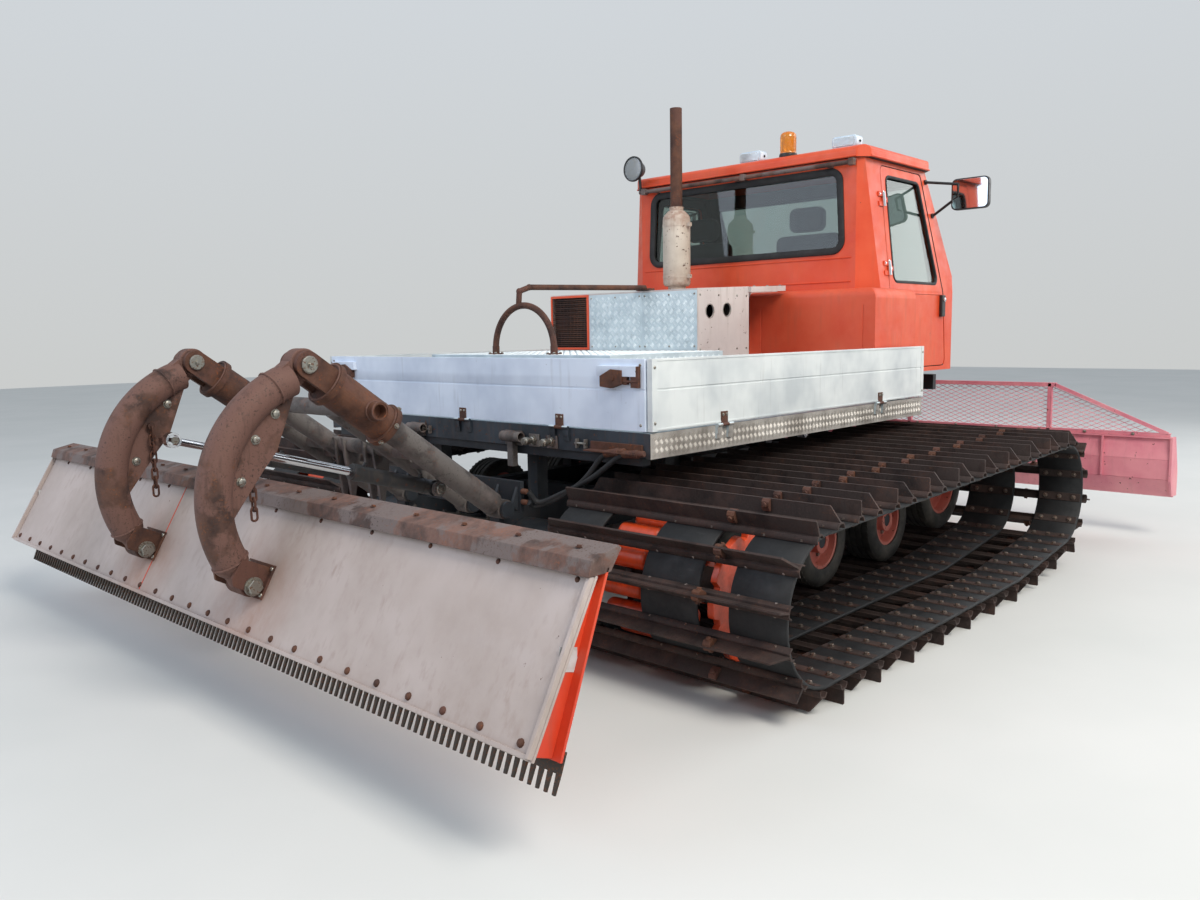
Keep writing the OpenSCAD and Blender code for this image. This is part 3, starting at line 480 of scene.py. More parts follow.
@dataclass(frozen=True)
class BareAluminium(Finish):
    """Rolled aluminium tread plate: dull and grey in its ground, bright on the bars that feet polish."""

    colour: str = "CDD9DE"
    dull: str = "AEBCC3"
    roughness: float = 0.42
    metallic: float = 0.2
    grime: str = "5B5954"

    def make(self, surface: Surface) -> Material:
        """Builds oxide clouds, scuffs and the rolled grain.

        Args:
            surface: The empty material.

        Returns:
            The finished material.
        """
        colour = surface.layer(self.colour, self.dull, 160, 0.36, 0.68, 1.0, 5.0)
        colour = surface.layer(colour, self.grime, 40, 0.62, 0.80, 0.35, 5.0)
        rough = surface.gloss(45, self.roughness, self.roughness + 0.2, 4.0)
        normal = surface.bump(surface.noise(3, 2.0), 0.08, 0.5)
        return surface.finish(colour, rough, normal, Metallic=self.metallic)


@dataclass(frozen=True)
class BareSteel(Finish):
    """Machined or plated steel: hard chrome on rods, zinc on nuts, grey spring steel on tines."""

    colour: str
    roughness: float = 0.2
    rusting: float = 0.2
    rust: str = "5E3C28"

    def make(self, surface: Surface) -> Material:
        """Builds turned marks and freckles of rust.

        Args:
            surface: The empty material.

        Returns:
            The finished material.
        """
        freckle = surface.mask(surface.noise(8, 5.0), 0.70 - 0.2 * self.rusting, 0.74 - 0.18 * self.rusting)
        colour = surface.blend(freckle, linear(self.colour), linear(self.rust))
        rough = surface.mask(freckle, 0.0, 1.0, (self.roughness, 0.75))
        normal = surface.bump(surface.noise(4, 2.0), 0.05, 0.4)
        metal = surface.mask(freckle, 0.0, 1.0, (1.0, 0.2))
        return surface.finish(colour, rough, normal, Metallic=metal)


@dataclass(frozen=True)
class MouldedPlastic(Finish):
    """Moulded plastic: polyurethane rollers, ABS shells and lamp bodies, satin with a faint flow texture."""

    colour: str
    worn: str
    roughness: float = 0.35
    dust: str = "6E6459"

    def make(self, surface: Surface) -> Material:
        """Builds wear, dust and the moulded texture.

        Args:
            surface: The empty material.

        Returns:
            The finished material.
        """
        colour = surface.layer(self.colour, self.worn, 60, 0.4, 0.7, 1.0, 5.0)
        colour = surface.layer(colour, self.dust, 24, 0.6, 0.78, 0.4, 5.0)
        rough = surface.gloss(30, self.roughness - 0.06, self.roughness + 0.14)
        normal = surface.bump(surface.noise(2.5, 1.0), 0.04, 0.5)
        return surface.finish(colour, rough, normal, IOR=1.49)


@dataclass(frozen=True)
class ClearPlastic(Finish):
    """Moulded polycarbonate lens: coloured, bright where light passes, glossy outside."""

    colour: str
    transmission: float = 0.55
    dust: str = "E8D8B8"

    def make(self, surface: Surface) -> Material:
        """Builds the lens with a faint haze of dust.

        Args:
            surface: The empty material.

        Returns:
            The finished material.
        """
        colour = surface.layer(self.colour, self.dust, 22, 0.45, 0.8, 0.3, 4.0)
        rough = surface.gloss(16, 0.08, 0.22, 4.0)
        return surface.finish(colour, rough, IOR=1.58, Transmission_Weight=self.transmission)


@dataclass(frozen=True)
class FloatGlass(Finish):
    """Safety glass: clear, with a grey-green cast and a thin film of dust."""

    colour: str = "B3C0BB"
    dust: str = "B9B6AB"

    def make(self, surface: Surface) -> Material:
        """Builds the pane and its film of dust.

        Args:
            surface: The empty material.

        Returns:
            The finished material.
        """
        colour = surface.layer(self.colour, self.dust, 180, 0.45, 0.8, 0.25, 5.0)
        return surface.finish(colour, 0.0, IOR=1.45, Specular_IOR_Level=0.2, Transmission_Weight=1.0)


@dataclass(frozen=True)
class WovenCloth(Finish):
    """Woven seat cloth on foam: a dark basket weave, drawn at 4 mm so that it shows."""

    colour: str = "26282C"
    thread: str = "3A3D42"
    thread_mm: float = 4.0

    def make(self, surface: Surface) -> Material:
        """Builds the weave from two crossed waves.

        Args:
            surface: The empty material.

        Returns:
            The finished material.
        """
        scale = 1 / (self.thread_mm * MM) / (2 * pi)
        links = {"Vector": surface.place, "Scale": scale}
        warp, weft = (add_node(surface.tree, "ShaderNodeTexWave", links, bands_direction=way).outputs["Fac"]
                      for way in "XZ")
        weave = surface.times(warp, weft)
        colour = surface.blend(weave, linear(self.colour), linear(self.thread))
        normal = surface.bump(weave, 0.4, 0.6)
        return surface.finish(colour, 0.86, normal, Sheen_Weight=0.25)


class Paint:
    """Every finish on the machine, named for what it is."""

    # Sprayed enamels: a soft gloss, paler where the sun bleached it, with brown chips.
    ORANGE = Enamel("orange_enamel_sprayed", "orange_paint", "D0431D", "DC5A34", 0.40, 0.30, 0.10)
    ORANGE_DULL = Enamel("orange_enamel_faded", "orange_paint", "CC4526", "D85D3C", 0.50, 0.35, 0.15)
    WHITE_PANEL = Enamel("white_enamel_chipped", "cover_paint", "B7ABA8", "CBC2BE", 0.50, 0.70, 0.55,
                         "7A6654")
    BLACK_FRAME = Enamel("black_chassis_enamel", "frame_paint", "1C2127", "2B3036", 0.50, 0.60, 0.80,
                         "4B4038")
    TAIL_BEAM = Enamel("blue_black_beam_enamel", "frame_paint", "1E242B", "39434D", 0.55, 0.80, 1.00,
                       "5E4436")
    BLACK_BARREL = Enamel("black_cylinder_enamel", "barrel_paint", "24262A", "3A3632", 0.45, 0.60, 0.90)
    RED_RIM = Enamel("red_rim_enamel", "rim_paint", "A8493A", "C4766A", 0.50, 0.60, 0.80)
    BLADE = Enamel("pink_blade_enamel", "blade_paint", "CC7484", "E69CA2", 0.55, 0.30, 0.55)
    BOARD = RustStainedEnamel("taupe_board_enamel", "board_paint", "A3958E", "B5A8A3", 0.46, 0.50, 0.15,
                              "7A5C4A")
    BOARD_INSIDE = Enamel("orange_red_enamel", "board_paint", "C2331A", "D64A2A", 0.42, 0.35, 0.35)
    HUB = Enamel("brown_hub_enamel", "frame_paint", "2A2321", "46342E", 0.55, 0.60, 0.90)
    # Hot-rolled steel: brown and matt, with orange bloom in its pits and rests of paint.
    ARM = RustySteel("painted_tube_rusting", "arm_steel", "3A2823", "634539", "8E5630", "6C4E45", 0.75)
    TUBE = RustySteel("sooted_steel_tube", "arm_steel", "423E3D", "6A615E", "7A5038", "67625F", 0.6)
    RUST = RustySteel("hot_rolled_rust", "rust", "3B241D", "63402F", "93532F", "5A3A30", 0.3)
    ANGLE = RustySteel("angle_steel_rusting", "rust", "433531", "76594F", "8E5840", "6F6360", 0.5)
    CLEAT = RustySteel("rolled_cleat_steel", "belt_rubber", "2B2220", "4A3934", "6C4A3A", "3F3431", 0.5, 0.3)
    # Heat-bleached enamel: bone white, with a brown bloom at both ends.
    MUFFLER = BakedEnamel("heat_bleached_muffler", "muffler_paint", "B8AD9F", "DCD3C6", 0.55, 0.60, 0.85,
                          "7A6048")
    # Rubber: blue-black and dull, greyed by dust where it lies flat.
    BELT = Rubber("belt_rubber_cord", "belt_rubber", "0D0F12", "3C3D3F", 0.22)
    TYRE = Rubber("tyre_rubber_tread", "tyre_rubber", "22211F", "6F675C", 0.50, 7.0)
    GASKET = Rubber("epdm_gasket_extruded", "belt_rubber", "17181A", "4A4A48", 0.25, 3.0)
    HOSE = Rubber("hose_rubber_braided", "belt_rubber", "16181B", "4A4A4A", 0.18, 2.5)
    # Coated and rolled aluminium: pale and nearly matt, with drawn lines, or bars that feet polish.
    PLANK_X = CoatedAluminium("coated_plank_lengthways", "white_board")
    PLANK_Y_PAINTED_SKYLIGHT = CoatedAluminium("coated_plank_across", "white_board", "DEE9F8", "C9D5E7", "6F7076", False)
    # The tailgate's copy of the white plank finish is tinted blue in colour, worn and grime. That tint is
    # painted blue skylight on the rear-facing side, not the coating's own colour.
    TREAD = BareAluminium("tread_plate_rolled", "chequer")
    SKIRT = BareAluminium("tread_plate_weathered", "chequer", "B2ADA7", "857F79", 0.5, 0.25)
    SKIRT_BAR = BareAluminium("tread_bars_worn", "chequer", "EFEBE4", "BDB7AE", 0.4, 0.2)
    TREAD_BAR = BareAluminium("tread_bars_polished", "chequer", "F0F6F8", "D5DFE3", 0.32, 0.25)
    # Ground, plated and sprung steel: the only sharp highlights, freckled with rust.
    CHROME = BareSteel("hard_chrome_ground", "chrome_rod", "D8DADE", 0.12, 0.1)
    ZINC = BareSteel("zinc_plated_nut", "comb_steel", "9A9890", 0.42, 0.7)
    BOLT = BareSteel("oxidised_bolt_steel", "comb_steel", "877D75", 0.5, 0.8)
    TINE = BareSteel("spring_steel_tine", "comb_steel", "4A443F", 0.45, 0.8)
    IRON = BareSteel("oily_cast_iron", "cast_block", "4B4D4F", 0.55, 0.5)
    # Moulded plastics: even and satin, with a faint flow texture.
    ROLLER = MouldedPlastic("orange_polyurethane_cast", "sprocket_plastic", "D4471B", "A93A1C", 0.34)
    BLACK_ABS = MouldedPlastic("black_abs_moulded", "black_plastic", "1D1E20", "2C2D2F", 0.42)
    LINING = MouldedPlastic("cab_lining_vinyl", "black_plastic", "2A2C2E", "36383B", 0.62)
    LAMP_SHELL = MouldedPlastic("pale_lamp_shell", "lamp_white", "C9D8E4", "B4C8D8", 0.26)
    AMBER = ClearPlastic("amber_lens_moulded", "amber", "F29A0C")
    LENS = ClearPlastic("clear_lens_moulded", "lamp_white", "E6EEF2", 0.7)
    TAPE = MouldedPlastic("silver_reflective_tape", "lamp_white", "C6C8CA", "A9A6A0", 0.30)
    # Glass and cloth: a clear mirror, a pane with a film of dust, and a dark weave without gloss.
    MIRROR = BareSteel("silvered_mirror_glass", "glass_tint", "C9D2D6", 0.05, 0.0)
    GLASS = FloatGlass("safety_glass", "glass_tint")
    CLOTH = WovenCloth("seat_cloth_woven", "seat_cloth")


class Shape:
    """Vertices and faces of one piece, gathered in the frame's metres."""

    def __init__(self) -> None:
        """Starts empty."""
        self.points: list[Vector] = []
        self.faces: list[tuple[int, ...]] = []

    def add(self, points: Iterable[Vector], faces: Iterable[Sequence[int]]) -> None:
        """Adds faces.

        Args:
            points: Their corners.
            faces: The corners of each face, numbered from 0.
        """
        first = len(self.points)
        self.points += [Vector(p) for p in points]
        self.faces += [tuple(first + i for i in face) for face in faces]

    def grid(self, rows: Sequence[Line], close_rows: bool = False, close_ring: bool = True) -> None:
        """Joins rows of equal length into a skin.

        Args:
            rows: The rows of points.
            close_rows: Whether the last row joins the first.
            close_ring: Whether each row is a closed ring.
        """
        n, m = len(rows), len(rows[0])
        faces = []
        for i in range(n if close_rows else n - 1):
            for j in range(m if close_ring else m - 1):
                a, b = i * m + j, i * m + (j + 1) % m
                c, d = ((i + 1) % n) * m + (j + 1) % m, ((i + 1) % n) * m + j
                faces.append((a, b, c, d))
        self.add([p for row in rows for p in row], faces)

    def prism(self, ring: Line, offset: Vector) -> None:
        """Runs a flat ring along an offset and closes both ends.

        Args:
            ring: The ring's points.
            offset: From the first end to the second.
        """
        n = len(ring)
        sides = [(i, (i + 1) % n, n + (i + 1) % n, n + i) for i in range(n)]
        ends = [tuple(reversed(range(n))), tuple(range(n, 2 * n))]
        self.add([*ring, *(p + offset for p in ring)], sides + ends)

    def section(self, outline: Outline, y0: float, y1: float) -> None:
        """Runs an outline of station and height along Y."""
        self.prism([spot(x, y0, z) for x, z in outline], Vector((0, (y1 - y0) * MM, 0)))

    def box(self, x0: float, x1: float, y0: float, y1: float, z0: float, z1: float) -> None:
        """Adds a block between two stations, two y and two heights."""
        self.section([(x0, z0), (x1, z0), (x1, z1), (x0, z1)], y0, y1)

    def sweep(self, path: Line, radius: float, sides: int = 12, closed: bool = False) -> None:
        """Runs a round tube along a path.

        Args:
            path: Points of the middle line, in metres.
            radius: The tube's radius in millimetres.
            sides: Sides of its round section.
            closed: Whether the path joins its own start.
        """
        n, around = len(path), circle(sides)
        rings, last = [], None
        for i, p in enumerate(path):
            ahead = path[(i + 1) % n] if closed or i + 1 < n else p
            behind = path[i - 1] if closed or i > 0 else p
            along = (ahead - behind).normalized()
            if last is None:
                side = along.orthogonal().normalized()
            else:
                side = (last - along * last.dot(along)).normalized()
            last, other = side, along.cross(side)
            rings.append([p + (side * c + other * s) * radius * MM for c, s in around])
        self.grid(rings, close_rows=closed)
        if not closed:
            self.add(rings[0], [tuple(reversed(range(sides)))])
            self.add(rings[-1], [tuple(range(sides))])

    def rod(self, a: Vector, b: Vector, radius: float, sides: int = 16) -> None:
        """Adds a straight round bar between two points."""
        self.sweep([a, b], radius, sides)

    def lathe(self, profile: Outline, origin: Vector, axis: Vector, sides: int = 24,
              closed: bool = False) -> None:
        """Turns a profile of radius and height, in millimetres, round an axis through origin.

        Args:
            profile: Radius and height of each point.
            origin: Where the heights start.
            axis: Direction of the heights.
            sides: Sides of the round.
            closed: Whether the profile's last point joins its first.
        """
        axis = axis.normalized()
        side = axis.orthogonal().normalized()
        other = axis.cross(side)
        rows = [[origin + axis * height * MM + (side * c + other * s) * radius * MM for c, s in circle(sides)]
                for radius, height in profile]
        self.grid(rows, close_rows=closed)

    def bolt(self, at: Vector, axis: Vector, across: float = 18.0) -> None:
        """Adds a hexagon head on its washer.

        Args:
            at: Where the washer lies.
            axis: Which way the head points.
            across: The head's width in millimetres.
        """
        axis = axis.normalized()
        self.lathe([(0, 0), (across * 0.72, 0), (across * 0.72, 2), (0, 2)], at, axis, 14)
        top = across * 0.42
        self.lathe([(0, 1), (across * 0.55, 1), (across * 0.55, top), (across * 0.45, top + 1.5),
                    (0, top + 1.5)], at, axis, 6)

    def dome(self, at: Vector, axis: Vector, radius: float, height: float | None = None) -> None:
        """Adds a round rivet head.

        Args:
            at: Where it sits.
            axis: Which way it points.
            radius: Its radius in millimetres.
            height: Its height, or about half its radius.
        """
        height = radius * 0.55 if height is None else height
        arc = [(radius * cos(t), height * sin(t)) for t in (0, pi / 6, pi / 3)]
        self.lathe([(radius, -0.5), *arc, (0, height)], at, axis, 10)

    def build(self, name: str, finish: Finish, body: str, bevel: float = 0.0, smooth: float = 38.0) -> Object:
        """Makes the piece.

        Args:
            name: The piece's name.
            finish: What it is made of.
            body: The body that it rides on.
            bevel: Width of its broken edges in millimetres, or 0.
            smooth: Edges that turn by less than this many degrees are smooth.

        Returns:
            The new object.
        """
        mesh = bpy.data.meshes.new(name)
        mesh.from_pydata(self.points, [], self.faces)
        mesh.validate()
        piece = bpy.data.objects.new(name, mesh)
        bpy.context.scene.collection.objects.link(piece)
        return settle(piece, finish, body, bevel, smooth)


def settle(piece: Object, finish: Finish, body: str, bevel: float, smooth: float) -> Object:
    """Shades a piece, breaks its edges, gives it its finish and hangs it on its body.

    Args:
        piece: The piece.
        finish: What it is made of.
        body: The body that it rides on.
        bevel: Width of its broken edges in millimetres, or 0.
        smooth: Edges that turn by less than this many degrees are smooth.

    Returns:
        The piece.
    """
    mesh = piece.data
    mesh.polygons.foreach_set("use_smooth", [True] * len(mesh.polygons))
    mesh.set_sharp_from_angle(angle=radians(smooth))
    if bevel:
        edge = piece.modifiers.new("edge", "BEVEL")
        edge.width, edge.segments = bevel * MM, 2
        edge.limit_method, edge.angle_limit = "ANGLE", radians(max(smooth, 30))
        edge.harden_normals = True
    mesh.materials.clear()
    mesh.materials.append(finish.material())
    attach(piece, body)
    triangles = sum(len(p.vertices) - 2 for p in mesh.polygons)
    LOG.info("%s on %s: %d triangles, %s", piece.name, body, triangles, finish.name)
    return piece


def refine(node: str, finish: Finish, body: str, bevel: float = 2.5, smooth: float = 32.0) -> Object:
    """Makes a finer piece from a node's solid: its flat faces joined again and its edges broken.

    Args:
        node: The node that the piece stands for.
        finish: What it is made of.
        body: The body that it rides on.
        bevel: Width of its broken edges in millimetres.
        smooth: Edges that turn by less than this many degrees are smooth.

    Returns:
        The new piece, which replaces the node.
    """
    source = bpy.data.objects[node]
    mesh = source.data.copy()
    mesh.name = f"{node}_fine"
    build = bmesh.new()
    build.from_mesh(mesh)
    bmesh.ops.remove_doubles(build, verts=build.verts, dist=0.00002)
    bmesh.ops.dissolve_limit(build, angle_limit=radians(0.6), verts=build.verts, edges=build.edges)
    build.to_mesh(mesh)
    build.free()
    piece = bpy.data.objects.new(f"{node}_fine", mesh)
    bpy.context.scene.collection.objects.link(piece)
    settle(piece, finish, body, bevel, smooth)
    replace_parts(piece, node)
    return piece


def repaint(piece: Object, finish: Finish, chosen: Callable[[Vector, Vector], bool]) -> None:
    """Gives some faces of a piece another finish.

    Args:
        piece: The piece.
        finish: What those faces are made of.
        chosen: Says from a face's centre and normal whether it is one of them.
    """
    mesh = piece.data
    mesh.materials.append(finish.material())
    for face in mesh.polygons:
        if chosen(face.center, face.normal):
            face.material_index = len(mesh.materials) - 1


def rounded(outline: Outline, radius: float, steps: int = 6) -> list[Pair]:
    """Rounds each corner of an outline by an arc.

    Args:
        outline: The corners, in order.
        radius: The arcs' radius in millimetres.
        steps: Pieces of each arc.

    Returns:
        The rounded outline's points.
    """
    points = []
    for i, (px, pz) in enumerate(outline):
        p = Vector((px, pz))
        u = (Vector(outline[i - 1]) - p).normalized()
        v = (Vector(outline[(i + 1) % len(outline)]) - p).normalized()
        half = acos(max(-1.0, min(1.0, u.dot(v)))) / 2
        centre = p + (u + v).normalized() * radius / sin(half)
        start = p + u * radius / tan(half) - centre
        end = p + v * radius / tan(half) - centre
        first = atan2(start.y, start.x)
        sweep = (atan2(end.y, end.x) - first + pi) % (2 * pi) - pi
        for k in range(steps + 1):
            turn = first + sweep * k / steps
            points.append((centre.x + radius * cos(turn), centre.y + radius * sin(turn)))
    return points


def lozenges(shape: Shape, corner: Vector, across: Vector, up: Vector, width: float, height: float,
             cell: float = 34.0) -> None:
    """Covers a flat panel with five-bar tread at 45 degrees, each group turned against its neighbours.

    Args:
        shape: The shape that takes the bars.
        corner: The panel's corner.
        across: Unit direction along its width. With up it gives the way out of the panel.
        up: Unit direction along its height.
        width: Its width in millimetres.
        height: Its height in millimetres.
        cell: Spacing of the groups in millimetres.
    """
    bars, length, thick, lift, pitch = 5, cell * 0.85, cell * 0.1, 1.4, cell * 0.18
    top = across.cross(up) * (lift * MM)
    first, second = (across + up).normalized(), (up - across).normalized()
    root, edge = sqrt(0.5), length / 2 + 2
    steps = int((width + height) / cell) + 2
    for i in range(steps):
        for j in range(-steps, steps):
            lies = (i + j) % 2 == 0
            long, short = (first, second) if lies else (second, first)
            for k in range(bars):
                shift = (k - (bars - 1) / 2) * pitch
                u, v = (i * cell, j * cell + shift) if lies else (i * cell + shift, j * cell)
                x, y = (u - v) * root, (u + v) * root
                if not (edge < x < width - edge and edge < y < height - edge):
                    continue
                middle = corner + (across * x + up * y) * MM
                a, b = long * (length / 2 * MM), short * (thick / 2 * MM)
                points = [middle - a, middle - b, middle + a, middle + b, middle - a * 0.55 + top,
                          middle + a * 0.55 + top]
                shape.add(points, [(0, 1, 4), (1, 5, 4), (1, 2, 5), (2, 3, 5), (3, 4, 5), (3, 0, 4)])


@dataclass
class Assembly:
    """A named group of pieces that share a job on the machine, most of them on its fixed body."""

    body: ClassVar[str] = "machine"

    def build(self) -> None:
        """Makes the main forms."""

    def dress(self) -> None:
        """Adds the fittings and small parts."""


@dataclass
class Chassis(Assembly):
    """Frame rails, cross beams, hitches, axles and the engine block under the bed."""

    def build(self) -> None:
        """Breaks the edges of the frame's plates and gives them their enamel."""
        for node in ("chassis_frame", "body_bearers", "cab_bearers", "rear_hitch", "front_hitch", "axles"):
            refine(node, Paint.BLACK_FRAME, self.body, 2.0)
        refine("engine_block", Paint.IRON, self.body, 12.0)


@dataclass
class Studio:
    """The plain floor, the soft light and the camera at the photograph's angle."""

    floor_size_m: float = 60.0
    camera_place: Triple = (-4.319, -3.807, 1.42)
    azimuth_deg: float = 43.1
    pitch_deg: float = 7.0
    roll_deg: float = 0.93
    lens_mm: float = 28.5
    floor_colours: tuple[str, str] = ("D3D4D2", "CCCECC")
    horizon_colour: str = "D2D4D3"
    sky_colour: str = "DDE5EE"
    sky_strength: float = 0.76
    backdrop_strength: float = 0.92
    lamps: tuple[tuple[str, Triple, float, float, str], ...] = (
        ("key_sun_side", (-2.5, -8.5, 9.0), 1060.0, 4.5, "FFF8EE"),
        ("fill_rear", (-9.5, 4.0, 6.0), 330.0, 7.0, "E0EAFF"),
        ("rim_front", (8.0, -5.0, 5.0), 260.0, 6.0, "FFFFFF"),
    )

    def floor(self) -> None:
        """Lays a pale floor of smooth screed, wide enough to meet the background."""
        half = self.floor_size_m / 2
        mesh = bpy.data.meshes.new("floor")
        mesh.from_pydata([(-half, -half, 0), (half, -half, 0), (half, half, 0), (-half, half, 0)], [],
                         [(0, 1, 2, 3)])
        floor = bpy.data.objects.new("floor", mesh)
        bpy.context.scene.collection.objects.link(floor)
        screed = Surface("pale_screed")
        colour = screed.layer(*self.floor_colours, 1400, 0.3, 0.7)
        grain = screed.bump(screed.noise(6), 0.3, 0.15)
        mesh.materials.append(screed.finish(colour, 0.9, grain))

    def sky(self) -> None:
        """Makes the pale surround that fills the shadows."""
        world = bpy.data.worlds.new("soft_surround")
        bpy.context.scene.world = world
        world.use_nodes = True
        tree = world.node_tree
        tree.nodes.clear()
        place = add_node(tree, "ShaderNodeTexCoord").outputs["Generated"]
        height = add_node(tree, "ShaderNodeSeparateXYZ", {0: place}).outputs["Z"]
        ramp = add_node(tree, "ShaderNodeMapRange",
                        {"Value": height, "From Min": -0.05, "From Max": 0.6}).outputs[0]
        links = {0: ramp, 6: linear(self.horizon_colour), 7: linear(self.sky_colour)}
        colour = add_node(tree, "ShaderNodeMix", links, data_type="RGBA").outputs[2]
        light, drop = (add_node(tree, "ShaderNodeBackground", {"Color": colour, "Strength": s}).outputs[0]
                       for s in (self.sky_strength, self.backdrop_strength))
        path = add_node(tree, "ShaderNodeLightPath").outputs
        seen = path["Is Camera Ray"]
        for ray in ("Is Glossy Ray", "Is Transmission Ray"):
            seen = add_node(tree, "ShaderNodeMath", {0: seen, 1: path[ray]}, operation="MAXIMUM").outputs[0]
        mixed = add_node(tree, "ShaderNodeMixShader", {0: seen, 1: light, 2: drop}).outputs[0]
        add_node(tree, "ShaderNodeOutputWorld", {"Surface": mixed})

    def light(self, name: str, place: Triple, power: float, size: float, colour: str) -> None:
        """Hangs a square area light that points at the machine's middle.

        Args:
            name: The light's name.
            place: Where it hangs, in metres.
            power: Its power in watts.
            size: Its side in metres.
            colour: Its colour.
        """
        data = bpy.data.lights.new(name, "AREA")
        data.energy, data.size, data.color = power, size, linear(colour)[:3]
        lamp = bpy.data.objects.new(name, data)
        bpy.context.scene.collection.objects.link(lamp)
        lamp.location = place
        lamp.rotation_euler = (Vector((0, 0, 0.9)) - Vector(place)).to_track_quat("-Z", "Y").to_euler()

    def camera(self) -> None:
        """Sets the camera where the photograph was taken."""
        data = bpy.data.cameras.new("photo_camera")
        data.lens, data.sensor_width = self.lens_mm, 36.0
        data.clip_end = 200.0
        camera = bpy.data.objects.new("photo_camera", data)
        bpy.context.scene.collection.objects.link(camera)
        a, p, roll = (radians(v) for v in (self.azimuth_deg, self.pitch_deg, self.roll_deg))
        ahead = Vector((cos(a) * cos(p), sin(a) * cos(p), -sin(p)))
        right = Vector((sin(a), -cos(a), 0))
        down = ahead.cross(right)
        right, down = (right * cos(roll) + down * sin(roll), down * cos(roll) - right * sin(roll))
        turn = Matrix((right, -down, -ahead)).transposed()
        camera.matrix_world = Matrix.Translation(self.camera_place) @ turn.to_4x4()
        bpy.context.scene.camera = camera

    def set_up(self) -> None:
        """Builds the whole studio."""
        self.floor()
        self.sky()
        for lamp in self.lamps:
            self.light(*lamp)
        self.camera()
        bpy.context.scene.view_settings.view_transform = "Standard"


@dataclass
class Loop:
    """The closed line that a belt's outer face follows: station, height and radius of each circle."""

    sprocket: Triple = (30.0, 385.0, 300.0)
    wheel: Triple = (2001.0, 324.0, 239.0)
    idler: Triple = (2730.0, 450.0, 290.0)

    def __post_init__(self) -> None:
        """Works out the tangent angles and the length of each straight and arc."""
        self.circles = [self.sprocket, self.wheel, self.idler]
        self.leave = []
        runs = []
        for i in range(3):
            (ax, az, ar), (bx, bz, br) = self.circles[i], self.circles[(i + 1) % 3]
            apart = hypot(bx - ax, bz - az)
            self.leave.append(atan2(bz - az, bx - ax) - acos((ar - br) / apart))
            runs.append(sqrt(apart**2 - (ar - br) ** 2))
        turns = [(self.leave[i] - self.leave[i - 1]) % (2 * pi) for i in range(3)]
        arcs = [self.circles[i][2] * turns[i] for i in range(3)]
        self.parts = [runs[0], arcs[1], runs[1], arcs[2], runs[2], arcs[0]]
        self.length = sum(self.parts)

    def place(self, s: float) -> Triple:
        """Finds a place on the loop.

        Args:
            s: Length along it from where the sprocket's arc ends.

        Returns:
            Station, height and outward angle there.
        """
        s %= self.length
        k = 0
        while k < 5 and s > self.parts[k]:
            s -= self.parts[k]
            k += 1
        i = k // 2
        if k % 2 == 0:
            x, z, r = self.circles[i]
            a = self.leave[i]
            return x + r * cos(a) - s * sin(a), z + r * sin(a) + s * cos(a), a
        x, z, r = self.circles[(i + 1) % 3]
        a = self.leave[i] + s / r
        return x + r * cos(a), z + r * sin(a), a


